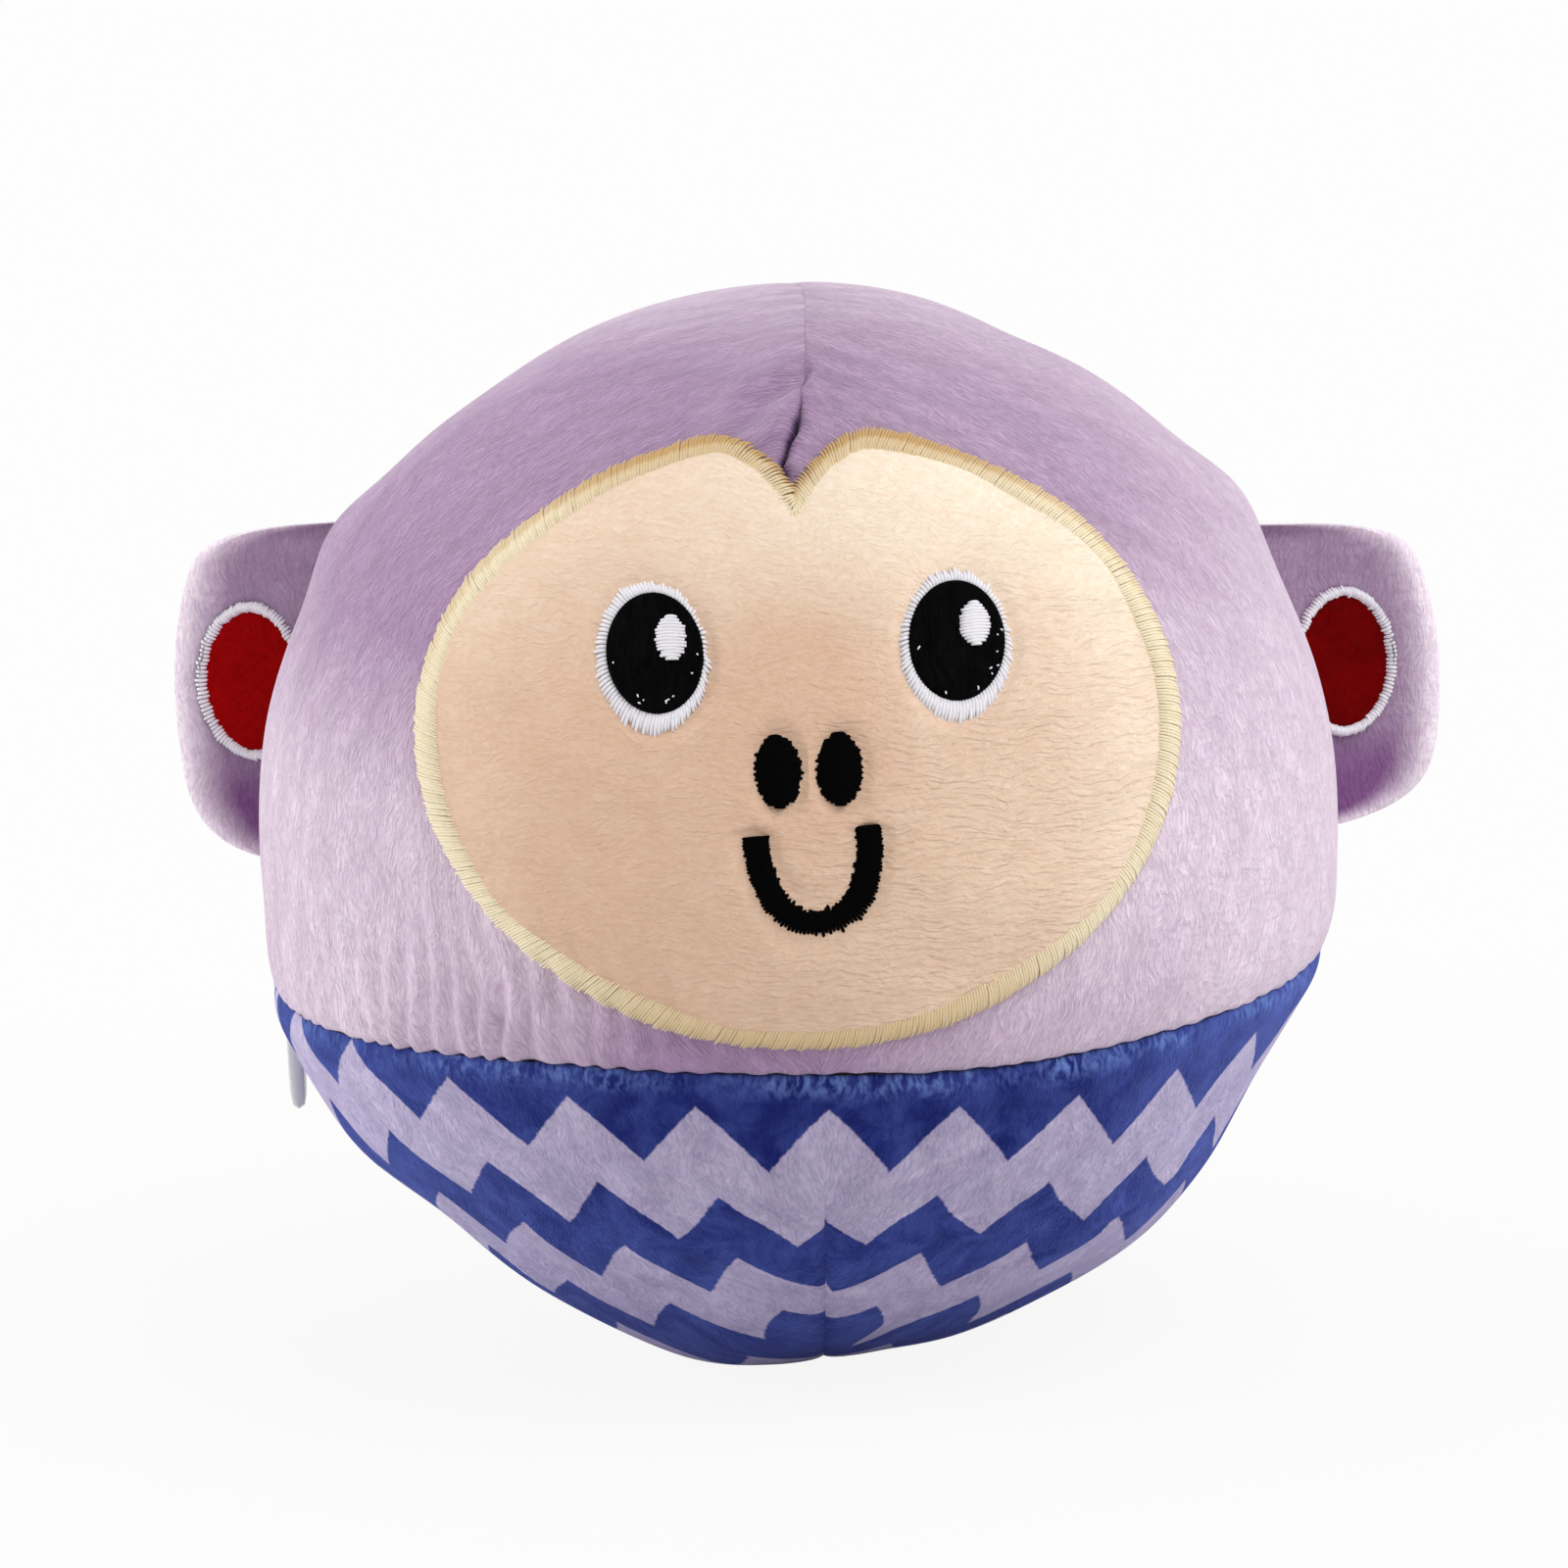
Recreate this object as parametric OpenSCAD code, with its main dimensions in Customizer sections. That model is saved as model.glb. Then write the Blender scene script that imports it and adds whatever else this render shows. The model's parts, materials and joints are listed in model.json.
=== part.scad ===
// Musical plush ball: a round animal-faced fabric ball with a zip behind and a sound core inside

/* [Cover] */
// Outside diameter of the sewn ball
ball_d = 130; // [116:1:146]
// Thickness of the cover fabric
fabric_t = 2.5; // [2:0.1:3.2]
// Diameter of the flat that the ball stands on
foot_d = 40; // [30:1:48]
// Height of the waist seam below the middle of the ball
seam_drop = 16; // [13:0.5:20]
// Gap between two sewn layers
sew_gap = 0.1; // [0.05:0.05:0.2]

/* [Face] */
// Width of the face over its border
face_w = 84; // [74:1:92]
// Height of the face over its border
face_h = 65; // [58:1:70]
// Height of the face's lower edge above the waist seam
face_seam_gap = 1.4; // [0.6:0.1:3]
// Depth of the notch at the top of the face
face_notch = 7; // [4:0.5:9]
// Half angle of the notch at the top of the face
notch_angle = 17; // [12:1:24]
// Thickness of the face fabric
face_t = 1; // [0.6:0.1:1.6]
// Width of the stitched border around the face
border_w = 3.3; // [2.4:0.1:4.2]
// Thickness of the stitched border around the face
border_t = 1.5; // [1.2:0.1:2]
// Distance between the two pupils
eye_spacing = 33; // [29:0.5:38]
// Height of the pupils above the middle of the face
eye_rise = 10.4; // [8:0.2:13]
// Width of a pupil
pupil_w = 10.6; // [9:0.2:12]
// Height of a pupil
pupil_h = 12.5; // [11:0.2:14]
// Least width of the white ring around a pupil
ring_w = 0.7; // [0.5:0.1:1.2]
// Sideways shift of a white ring from its pupil
ring_shift = 0.4; // [0.2:0.1:0.6]
// Drop of a white ring below its pupil
ring_drop = 0.7; // [0.4:0.1:1]
// Thickness of a white ring and of the mouth and nostril stitches
stitch_t = 0.8; // [0.5:0.1:1.2]
// Thickness of a pupil
pupil_t = 1; // [0.6:0.1:1.4]
// Width of the glint on a pupil
glint_w = 3.8; // [3:0.2:4.6]
// Height of the glint on a pupil
glint_h = 5; // [4:0.2:6]
// Sideways place of the glint on its pupil
glint_side = 1.9; // [1.2:0.1:2.4]
// Height of the glint above the middle of its pupil
glint_rise = 1.7; // [1:0.1:2.4]
// Distance between the two nostrils
nostril_spacing = 6.8; // [6:0.2:9]
// Width of a nostril
nostril_w = 5; // [4:0.2:5.6]
// Height of a nostril
nostril_h = 7.8; // [6:0.2:9]
// Drop of the nostrils below the middle of the face
nostril_drop = 1.8; // [0.5:0.1:3]
// Width of the mouth along the middle of its line
mouth_w = 12.8; // [10:0.2:16]
// Depth of the mouth along the middle of its line
mouth_h = 9; // [7:0.2:11]
// Drop of the mouth's ends below the middle of the face
mouth_drop = 8.8; // [8:0.2:11]
// Width of the mouth's line
mouth_line = 2.8; // [2:0.1:3.4]

/* [Ears] */
// Height of an ear along its root
ear_h = 37; // [31:0.5:42]
// Reach of an ear out from the ball
ear_out = 12.8; // [10:0.2:16]
// Extra reach at the top of an ear, as a share
ear_lean = 0.2; // [0.1:0.02:0.3]
// Greatest thickness of an ear
ear_t = 8; // [6:0.2:10]
// Forward curl of an ear's rim
ear_cup = 3.5; // [1:0.1:5]
// Height of the ears' middle above the middle of the ball
ear_rise = 16.5; // [12:0.5:20]
// Angle of the ears behind the sides of the ball
ear_back = 14; // [8:1:18]
// Gap between an ear's root and the cover
ear_gap = 0.3; // [0.3:0.05:0.6]
// Height of the round patch in an ear
patch_h = 16; // [13:0.5:18]
// Reach of the patch out from the ear's root
patch_out = 8.6; // [7:0.2:10]
// Thickness of the patch
patch_t = 0.6; // [0.4:0.1:1]
// Width of the stitched border around a patch
patch_border_w = 1.4; // [1:0.1:1.8]
// Thickness of the stitched border around a patch
patch_border_t = 0.9; // [0.6:0.1:1.2]

/* [Zip] */
// Angle of the closed slider behind the left side
zip_side = 20; // [17:1:26]
// Angle that the slider travels around the back
zip_travel = 140; // [120:1:146]
// Width of the opening in the cover along the zip
zip_slot_w = 8.4; // [8.1:0.1:9.2]
// Width of one zip tape
tape_w = 8.5; // [7:0.1:9.5]
// Thickness of a zip tape
tape_t = 0.8; // [0.6:0.1:1]
// Number of teeth on one tape
tooth_count = 60; // [48:1:66]
// Width of a tooth along the zip
tooth_w = 1.2; // [1:0.1:1.5]
// Length of a tooth across the zip
tooth_l = 2; // [1.6:0.1:2.1]
// Height of a tooth above the tape
tooth_t = 1.7; // [1.4:0.1:2]
// Gap between the two rows of teeth
row_gap = 1.4; // [1.35:0.05:1.6]
// Length of the slider along the zip
slider_l = 9; // [8:0.2:10]
// Thickness of a slider plate
plate_t = 1.2; // [1:0.1:1.5]
// Width of a stop at the end of the zip
stop_w = 2; // [1.5:0.1:2.5]
// Room between the slider and a stop
stop_room = 0.5; // [0.3:0.1:1]
// Room in the cover's opening beyond a stop
slot_room = 1; // [0.6:0.1:2]
// Length of tape beyond the cover's opening
tape_over = 2; // [1:0.1:4]
// Thickness of the slider's lips
lip_w = 0.6; // [0.5:0.05:0.6]
// Running clearance of the slider
zip_clear = 0.35; // [0.3:0.05:0.4]
// Radius of the slider's bridge bar
bar_r = 0.7; // [0.6:0.05:0.8]
// Radius of the wire link
link_wire_r = 0.6; // [0.5:0.05:0.7]
// Length of the straight sides of the link
link_l = 4.4; // [4:0.1:6]
// Length of the pull
pull_l = 15.2; // [12:0.2:18]
// Width of the pull
pull_w = 5.6; // [4.8:0.1:7]
// Thickness of the pull
pull_t = 1.9; // [1.6:0.1:2.2]

/* [Sound core] */
// Outside diameter of the core
core_d = 90; // [86:1:98]
// Wall of the core
core_wall = 2.2; // [1.8:0.1:2.6]
// Gap between the core and its padding
core_gap = 0.5; // [0.3:0.1:1]
// Distance of the core screws from the middle planes
core_screw_at = 24; // [23.4:0.1:24.6]
// Radius of a small screw's shank
screw_r = 1.2; // [1:0.05:1.3]
// Radius of a small screw's head
screw_head_r = 2.3; // [2:0.05:2.5]
// Clearance of a part in its housing
fit_clear = 0.2; // [0.15:0.05:0.3]

/* [Batteries] */
// Diameter of a cell
cell_d = 10.5; // [10.3:0.1:10.8]
// Length of a cell
cell_l = 44.5; // [43:0.1:45]
// Space for the spring and the contact at the ends of a cell
contact_space = 6.8; // [6:0.1:7]
// Wall of the battery bay
bay_wall = 1.6; // [1.4:0.1:1.8]
// Thickness of the battery door
door_t = 2; // [1.6:0.1:2.2]

/* [Circuit] */
// Length of the circuit board
board_l = 52; // [51:0.5:54]
// Width of the circuit board
board_w = 34; // [32:0.5:35]
// Thickness of the circuit board
board_t = 1.6; // [1.2:0.1:2]
// Height of the board's posts
post_h = 5; // [4:0.1:6]
// Distance of the posts from the ends of the battery bay
post_inset = 4.7; // [4.5:0.1:6]
// Distance of the posts from the board's middle line
post_y = 12; // [11:0.1:13]
// Radius of the roll sensor's ball
roll_ball_r = 2.2; // [1.8:0.1:2.4]
// Travel of the roll sensor's ball
roll_travel = 3.4; // [2.5:0.1:4]
// Wall of the roll sensor's can
can_wall = 0.6; // [0.5:0.1:0.8]
// Travel of the power switch
switch_travel = 4; // [3:0.1:4.2]
// Depth of the switch's housing into the core
switch_depth = 9; // [8.2:0.1:10]
// Wall around the switch in its housing
switch_wall = 1.8; // [1.4:0.1:2.2]

/* [Speaker] */
// Radius of the speaker's flange
flange_r = 20; // [19.5:0.1:21]
// Depth of the speaker's flange below the top of the core
speaker_z = 15; // [14:0.2:17]
// Depth of the speaker's basket under its flange
basket_depth = 10; // [9:0.2:11]
// Height of the speaker's magnet
magnet_h = 8; // [6:0.2:9]
// Radius of the voice coil
coil_r = 7.4; // [7:0.1:7.8]
// Radius of a lead
lead_r = 0.6; // [0.5:0.05:0.7]
// Distance of a lead from the middle of its pair
lead_apart = 3; // [2:0.1:3.4]
// Travel of the cone each way
cone_travel = 0.6; // [0.4:0.05:0.8]

/* [Hidden] */
$fn = 96;

ball_r = ball_d / 2;
foot_r = foot_d / 2;
centre_z = sqrt(ball_r * ball_r - foot_r * foot_r);
seam_lat = -asin(seam_drop / ball_r);
deg_per_mm = 180 / (PI * ball_r);
inner_r = ball_r - fabric_t;
far = 4 * ball_d;

face_rise = -seam_drop + face_seam_gap + face_h / 2;
face_in = ball_r + sew_gap;
face_out = face_in + face_t;
art_in = face_out + sew_gap;
eye_z = face_rise + eye_rise;
ring_rx = pupil_w / 2 + ring_w + ring_shift - 0.3;
ring_rz = pupil_h / 2 + ring_w + ring_drop;
nostril_z = face_rise - nostril_drop;
mouth_z = face_rise - mouth_drop;

ear_root_r = ball_r + ear_gap;
ear_rows = 23;
ear_cols = 9;
ear_edge_t = 0.7;
patch_rows = 21;
patch_start = 0.04;
patch_cols = 6;

zip_closed = 180 - zip_side;
zip_open = zip_closed - zip_travel;
tape_out = inner_r - sew_gap;
tape_in = tape_out - tape_t;
tooth_in = tape_out + sew_gap;
tooth_out = tooth_in + tooth_t;
row_half = row_gap / 2;
plate_in = tooth_out + zip_clear;
plate_out = plate_in + plate_t;
lip_in = row_half + tooth_l + zip_clear;
slider_half = slider_l / 2;
back_plate_out = tape_in - 2 * zip_clear;
back_plate_in = back_plate_out - plate_t * 0.7;
stop_mid = (slider_half + stop_room + stop_w / 2) * deg_per_mm;
slot_end = stop_mid + (stop_w / 2 + slot_room) * deg_per_mm;
tape_end = slot_end + tape_over * deg_per_mm;
channel_in = back_plate_in - 0.5;
channel_half = row_half + tape_w + 0.5;
link_half_w = pull_t / 2 + zip_clear + link_wire_r;
bar_x = plate_out + link_half_w + link_wire_r + zip_clear;
bar_radial = bar_x * cos(seam_lat);
bar_z = bar_x * sin(seam_lat);
hole_r = 2 * link_wire_r;

core_r = core_d / 2;
core_in = core_r - core_wall;
bay_l = cell_l + contact_space;
bay_w = 3 * cell_d + 2;
cell_pitch = cell_d + 0.5;
door_l = bay_l + 3;
door_w = bay_w + 3;
lobe_r = screw_head_r + 0.7;
lobe_y = door_w / 2 + lobe_r;
core_flat = sqrt(core_r * core_r - pow(norm([door_l / 2, door_w / 2]) + 0.8, 2));
door_top = -core_flat + door_t;
floor_t = door_t + 1.4;
tab_x = door_l / 4;
tab_l = 6;
tab_t = 0.9;
tab_z = door_top - tab_t - 0.4;
bay_top = door_top + cell_d + 0.8;
roof_top = bay_top + bay_wall;
cell_z = door_top + 0.4 + cell_d / 2;
board_z = roof_top + post_h;
board_top = board_z + board_t;
post_x = bay_l / 2 - post_inset;
seat_z = -14;
boss_r = screw_head_r + 1.6;
contact_t = 0.4;
contact_x = bay_l / 2 - 0.15 - contact_t;

can_bore = roll_ball_r + 0.3;
can_r = can_bore + can_wall;
can_space = roll_travel + 2 * roll_ball_r;
can_y = -9;
can_z = board_top + can_r + 0.1;

switch_z = -8;
switch_floor = core_r - 4;
frame_t = 1.5;
knob_foot_l = 4.8;
knob_stem_l = 3.6;
knob_stem_h = 2.5;
knob_foot_h = 3.9;
knob_foot_t = 2.5;
knob_slack = 0.35;
switch_hollow = knob_foot_t + 2 * knob_slack;
frame_l = switch_travel + knob_stem_l + 1.4 + 2 * (screw_r + screw_head_r);
frame_h = 6.6;
frame_hole_l = switch_travel + knob_stem_l + 2 * knob_slack;
switch_screw_x = frame_hole_l / 2 + screw_r + 0.6;

flange_t = 1.3;
flange_top = core_r - speaker_z;
flange_z = flange_top - flange_t;
cup_wall_r = flange_r - 2.8;
cup_wall_t = 1.2;
cone_r = cup_wall_r - cup_wall_t - 1.4;
magnet_r = coil_r + 2.6;
pole_r = coil_r - 1.1;
gap_r = coil_r + 0.5;
magnet_top = flange_top - basket_depth;
magnet_z = magnet_top - magnet_h;
coil_z = magnet_top - 4.5;
cone_z = magnet_top + 2.5;
clamp_t = 1.5;
clamp_r = flange_r + 6;
clamp_in = cup_wall_r + 0.2;
grille_r = 1.2;

// Flat outline of the ball's section, drawn in by an inset
module ball_section(inset) {
    intersection() {
        circle(r = ball_r - inset);
        translate([0, inset - centre_z]) square([ball_d, 2 * ball_d]);
    }
}

// Flat wedge between two latitudes
module wedge(lat_lo, lat_hi) {
    polygon([[0, 0], [far * cos(lat_lo), far * sin(lat_lo)], [far * cos(lat_hi), far * sin(lat_hi)]]);
}

// Part of a ball's shell between two radii, two latitudes and two bearings
module shell(r_in, r_out, lat_lo, lat_hi, from, to) {
    rotate([0, 0, from]) rotate_extrude(angle = to - from) intersection() {
        difference() {
            circle(r = r_out);
            circle(r = r_in);
        }
        wedge(lat_lo, lat_hi);
    }
}

// Everything drawn about the middle of the ball
module at_middle() {
    translate([0, 0, centre_z]) children();
}

// Frame on the waist seam: X points out of the ball, Y along the seam and Z up the ball
module on_seam(bearing) {
    rotate([0, 0, bearing]) rotate([0, -seam_lat, 0]) children();
}

// Opening in the cover along the zip
module zip_slot() {
    slot_half = zip_slot_w / 2 * deg_per_mm;
    shell(channel_in, ball_r + 5, seam_lat - slot_half, seam_lat + slot_half,
        zip_open - slot_end, zip_closed + slot_end);
}

// One half of the upper cover between two bearings
module head_half(from) {
    at_middle() difference() {
        shell(inner_r, ball_r, seam_lat, 90, from, from + 180);
        zip_slot();
    }
}

module head_panel_left() color("plum") head_half(90);

module head_panel_right() color("plum") head_half(270);

// Lower cover in one piece with its flat foot
module lower_cover() color("royalblue") at_middle() difference() {
    rotate_extrude() intersection() {
        difference() {
            ball_section(0);
            ball_section(fabric_t);
        }
        wedge(-90, seam_lat);
    }
    zip_slot();
}

// Prism that runs forward from the middle of the ball with an outline in X and Z
module forward_prism(outline) {
    rotate([90, 0, 0]) linear_extrude(ball_d) polygon(outline);
}

// Patch of a ball's shell under an outline seen from the front
module front_patch(outline, r_in, r_out) {
    intersection() {
        difference() {
            sphere(r = r_out);
            sphere(r = r_in);
        }
        forward_prism(outline);
    }
}

function oval(x, z, rx, rz, n) = [for (i = [0 : n - 1])
    [x + rx * sin(360 * i / n), z + rz * cos(360 * i / n)]];

// Outline of the face with its notched top, drawn in by an inset
function notch_share(a) = pow(max(0, 1 - abs(a) / notch_angle), 1.5);
function face_outline(inset) = [for (a = [-180 : 4 : 176])
    let (k = 1 - face_notch / (face_h / 2) * notch_share(a))
    [(face_w / 2 - inset) * k * sin(a), face_rise + (face_h / 2 - inset) * k * cos(a)]];

module face_panel() color("wheat") at_middle()
    front_patch(face_outline(border_w + sew_gap), face_in, face_out);

module face_border() color("khaki") at_middle() difference() {
    front_patch(face_outline(0), face_in, face_in + border_t);
    forward_prism(face_outline(border_w));
}

// White ring around a pupil
module eye_white(side) {
    x = side * eye_spacing / 2;
    difference() {
        front_patch(oval(x - ring_shift, eye_z - ring_drop, ring_rx, ring_rz, 40), art_in, art_in + stitch_t);
        forward_prism(oval(x, eye_z, pupil_w / 2 + sew_gap, pupil_h / 2 + sew_gap, 40));
    }
}

module eye_white_left() color("white") at_middle() eye_white(-1);

module eye_white_right() color("white") at_middle() eye_white(1);

module eye_pupil(side) {
    front_patch(oval(side * eye_spacing / 2, eye_z, pupil_w / 2, pupil_h / 2, 40), art_in, art_in + pupil_t);
}

module eye_pupil_left() color("black") at_middle() eye_pupil(-1);

module eye_pupil_right() color("black") at_middle() eye_pupil(1);

module eye_glint(side) {
    glint_in = art_in + pupil_t + sew_gap;
    front_patch(oval(side * eye_spacing / 2 + glint_side, eye_z + glint_rise, glint_w / 2, glint_h / 2, 24),
        glint_in, glint_in + stitch_t / 2);
}

module eye_glint_left() color("white") at_middle() eye_glint(-1);

module eye_glint_right() color("white") at_middle() eye_glint(1);

module nostril(side) {
    front_patch(oval(side * nostril_spacing / 2, nostril_z, nostril_w / 2, nostril_h / 2, 28),
        art_in, art_in + stitch_t);
}

module nostril_left() color("black") at_middle() nostril(-1);

module nostril_right() color("black") at_middle() nostril(1);

// Half oval of the mouth's line, out or in by half its width
function mouth_side(grow) = [for (a = [-90 : 6 : 90])
    [(mouth_w / 2 + grow) * sin(a), mouth_z - (mouth_h + grow) * cos(a)]];
mouth_outer = mouth_side(mouth_line / 2);
mouth_inner = mouth_side(-mouth_line / 2);

module mouth_stitch() color("black") at_middle()
    front_patch(concat(mouth_outer, [for (i = [len(mouth_inner) - 1 : -1 : 0]) mouth_inner[i]]),
        art_in, art_in + stitch_t);

// Two triangles for each cell of a grid of points
function grid_faces(rows, cols, base, flip) = [for (i = [0 : rows - 2], j = [0 : cols - 2])
    let (a = base + i * cols + j, b = a + 1, c = a + cols, d = c + 1)
    each flip ? [[a, c, b], [b, c, d]] : [[a, b, c], [b, d, c]]];

// Strip of triangles between a run of points and the run that lies under it
function strip_faces(run, shift) = [for (i = [0 : len(run) - 2])
    let (a = run[i], b = run[i + 1])
    each [[a, a + shift, b], [b, a + shift, b + shift]]];

// Order of the points around the edge of a grid
function edge_run(rows, cols) = concat(
    [for (j = [0 : cols - 1]) j],
    [for (i = [1 : rows - 1]) i * cols + cols - 1],
    [for (j = [cols - 2 : -1 : 0]) (rows - 1) * cols + j],
    [for (i = [rows - 2 : -1 : 0]) i * cols]);

// Solid between a front grid of points and a back grid of the same size
module slab(front, back, rows, cols) {
    count = rows * cols;
    polyhedron(points = concat(front, back),
        faces = concat(grid_faces(rows, cols, 0, false), grid_faces(rows, cols, count, true),
            strip_faces(edge_run(rows, cols), count)), convexity = 6);
}

// Ear surfaces: height share k from -1 to 1, reach share s from 0 to 1; out, forward and up
function ear_root(z) = sqrt(ear_root_r * ear_root_r - z * z);
function ear_reach(k) = ear_out * (1 + ear_lean * k) * pow(1 - pow(abs(k), 5), 0.3);
function ear_mid(s) = ear_cup * s * s;
function ear_half(k, s) = ear_edge_t / 2 + ear_t * 0.8 * pow(s, 0.6) * pow(1 - s, 0.55) * (1 - pow(abs(k), 6));
function ear_place(k, s, forward) = let (z = ear_rise + k * ear_h / 2)
    [ear_root(z) + s * ear_reach(k), forward, z];
function ear_front(k, s) = ear_place(k, s, ear_mid(s) + 0.4 * ear_half(k, s));
function ear_rear(k, s) = ear_place(k, s, ear_mid(s) - ear_half(k, s));
function ear_k(i) = 0.985 * sin(90 * (2 * i / (ear_rows - 1) - 1));
function ear_s(j) = pow(j / (ear_cols - 1), 1.5);

module ear() {
    slab([for (i = [0 : ear_rows - 1], j = [0 : ear_cols - 1]) ear_front(ear_k(i), ear_s(j))],
        [for (i = [0 : ear_rows - 1], j = [0 : ear_cols - 1]) ear_rear(ear_k(i), ear_s(j))],
        ear_rows, ear_cols);
}

// Edge of the patch at a bearing: its height share and its reach share on the ear's front
function patch_edge(a) = [patch_h / ear_h * sin(a), patch_start + (patch_out / ear_out - patch_start) * cos(a)];
function lifted(k, s, lift) = ear_front(k, s) + [0, lift, 0];
function patch_grid(lift) = [for (i = [0 : patch_rows - 1], j = [0 : patch_cols - 1])
    let (e = patch_edge(89 * (2 * i / (patch_rows - 1) - 1)), near = 0.6 * patch_start)
    lifted(e[0], near + (e[1] - near) * j / (patch_cols - 1), lift)];

module ear_patch() {
    slab(patch_grid(sew_gap + patch_t), patch_grid(sew_gap), patch_rows, patch_cols);
}

// Border points: around the patch from end to end, out across the border's width
function border_dir(a) = [2 / ear_h * sin(a), cos(a) / ear_out];
function border_grid(lift) = [for (i = [0 : patch_rows - 1], j = [0 : 3])
    let (a = 84 * (2 * i / (patch_rows - 1) - 1),
        q = patch_edge(a) + border_dir(a) * (2 * sew_gap + patch_border_w * j / 3))
    lifted(q[0], q[1], lift)];

module ear_border() {
    slab(border_grid(sew_gap + patch_border_t), border_grid(sew_gap), patch_rows, 4);
}

// Ear pieces are drawn for the left side and mirrored for the right
module left_ear_frame() {
    at_middle() rotate([0, 0, 180 - ear_back]) children();
}

module right_ear_frame() {
    mirror([1, 0, 0]) left_ear_frame() children();
}

module ear_left() color("plum") left_ear_frame() ear();

module ear_right() color("plum") right_ear_frame() ear();

module ear_patch_left() color("darkred") left_ear_frame() ear_patch();

module ear_patch_right() color("darkred") right_ear_frame() ear_patch();

module ear_border_left() color("white") left_ear_frame() ear_border();

module ear_border_right() color("white") right_ear_frame() ear_border();

// Zip tape above or below the seam
module zip_tape(side) {
    near = seam_lat + side * row_half * deg_per_mm;
    away = seam_lat + side * (row_half + tape_w) * deg_per_mm;
    at_middle() shell(tape_in, tape_out, min(near, away), max(near, away),
        zip_open - tape_end, zip_closed + tape_end);
}

module zip_tape_upper() color("lavender") zip_tape(1);

module zip_tape_lower() color("lavender") zip_tape(-1);

// Row of teeth on a spine above or below the seam
module zip_teeth(side) {
    near = seam_lat + side * (row_half + tooth_l * 0.55) * deg_per_mm;
    away = seam_lat + side * (row_half + tooth_l) * deg_per_mm;
    pitch = zip_travel / tooth_count;
    low = side > 0 ? row_half : -row_half - tooth_l;
    at_middle() {
        shell(tooth_in, tooth_in + tooth_t / 2, min(near, away), max(near, away), zip_open, zip_closed);
        for (i = [0 : tooth_count - 1])
            on_seam(zip_open + (i + 0.5 - side * 0.25) * pitch)
                translate([tooth_in, -tooth_w / 2, low]) cube([tooth_t, tooth_w, tooth_l]);
    }
}

module zip_teeth_upper() color("slategray") zip_teeth(1);

module zip_teeth_lower() color("slategray") zip_teeth(-1);

// Stops across both tapes beyond the slider's travel
module zip_end_stops() color("slategray") at_middle() {
    for (bearing = [zip_open - stop_mid, zip_closed + stop_mid])
        on_seam(bearing) translate([tooth_in, -stop_w / 2, -row_half - tooth_l])
            cube([tooth_t, stop_w, row_gap + 2 * tooth_l]);
}

// Slider with two plates, a post between the rows and a bridge for the link
module zip_slider() color("silver") at_middle() on_seam(zip_closed) {
    post_half = row_half - zip_clear;
    plate_half = lip_in + lip_w;
    foot_l = 1.2;
    post_l = 1.6;
    translate([plate_in, -slider_half, -plate_half]) cube([plate_t, slider_l, 2 * plate_half]);
    for (side = [-1, 1])
        translate([tape_out + zip_clear, -slider_half, side > 0 ? lip_in : -plate_half])
            cube([plate_in - tape_out - zip_clear, slider_l, lip_w]);
    translate([back_plate_in, -slider_half + lip_w, -lip_in])
        cube([back_plate_out - back_plate_in, slider_l - 2 * lip_w, 2 * lip_in]);
    translate([back_plate_out - 0.1, -post_l / 2, -post_half])
        cube([plate_in - back_plate_out + 0.2, post_l, 2 * post_half]);
    for (end = [-1, 1])
        translate([plate_out - 0.1, end * (slider_half - foot_l / 2) - foot_l / 2, -1])
            cube([bar_x + bar_r - plate_out + 0.1, foot_l, 2]);
    translate([bar_x, -slider_half + foot_l / 2, 0]) rotate([-90, 0, 0])
        cylinder(r = bar_r, h = slider_l - foot_l);
}

// Frame at the bridge bar: X points away from the ball's axis, Y along the seam and Z up
module at_bar() {
    at_middle() rotate([0, 0, zip_closed]) translate([bar_radial, 0, bar_z]) children();
}

// Wire link around the bridge bar, drawn in the plane of X and Z
module zip_link() color("silver") at_bar() rotate([90, 0, 0]) {
    rotate_extrude(angle = 180) translate([link_half_w, 0]) circle(r = link_wire_r, $fn = 24);
    translate([0, -link_l, 0]) rotate([0, 0, 180])
        rotate_extrude(angle = 180) translate([link_half_w, 0]) circle(r = link_wire_r, $fn = 24);
    for (side = [-1, 1])
        translate([side * link_half_w, 0, 0]) rotate([90, 0, 0])
            cylinder(r = link_wire_r, h = link_l, $fn = 24);
}

// Pull that hangs from the link with round ends
module zip_pull() color("gainsboro") at_bar() {
    hole_z = -link_l - link_half_w;
    top_z = hole_z + hole_r + 1.2;
    tip_z = top_z - pull_l;
    rotate([90, 0, 90]) translate([0, 0, -pull_t / 2]) linear_extrude(pull_t) difference() {
        union() {
            translate([0, top_z - hole_r - 1.2]) circle(r = hole_r + 1.2);
            translate([-pull_w / 2, tip_z + pull_w / 2]) square([pull_w, hole_z - tip_z - pull_w / 2]);
            translate([0, tip_z + pull_w / 2]) circle(r = pull_w / 2);
        }
        translate([0, hole_z]) circle(r = hole_r);
    }
}

// Flat outline of the core's section, grown by a margin
module core_section(grow) {
    intersection() {
        circle(r = core_r + grow);
        translate([0, -core_flat - grow]) square([core_d, 2 * core_d]);
    }
}

// Half of the padding with the channel that the zip runs in
module padding(lat_lo, lat_hi) {
    half = channel_half * deg_per_mm;
    at_middle() difference() {
        rotate_extrude() intersection() {
            difference() {
                ball_section(fabric_t + sew_gap);
                core_section(core_gap);
            }
            wedge(lat_lo, lat_hi);
        }
        shell(channel_in, ball_r, seam_lat - half, seam_lat + half,
            zip_open - tape_end - 1, zip_closed + tape_end + 1);
    }
}

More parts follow.
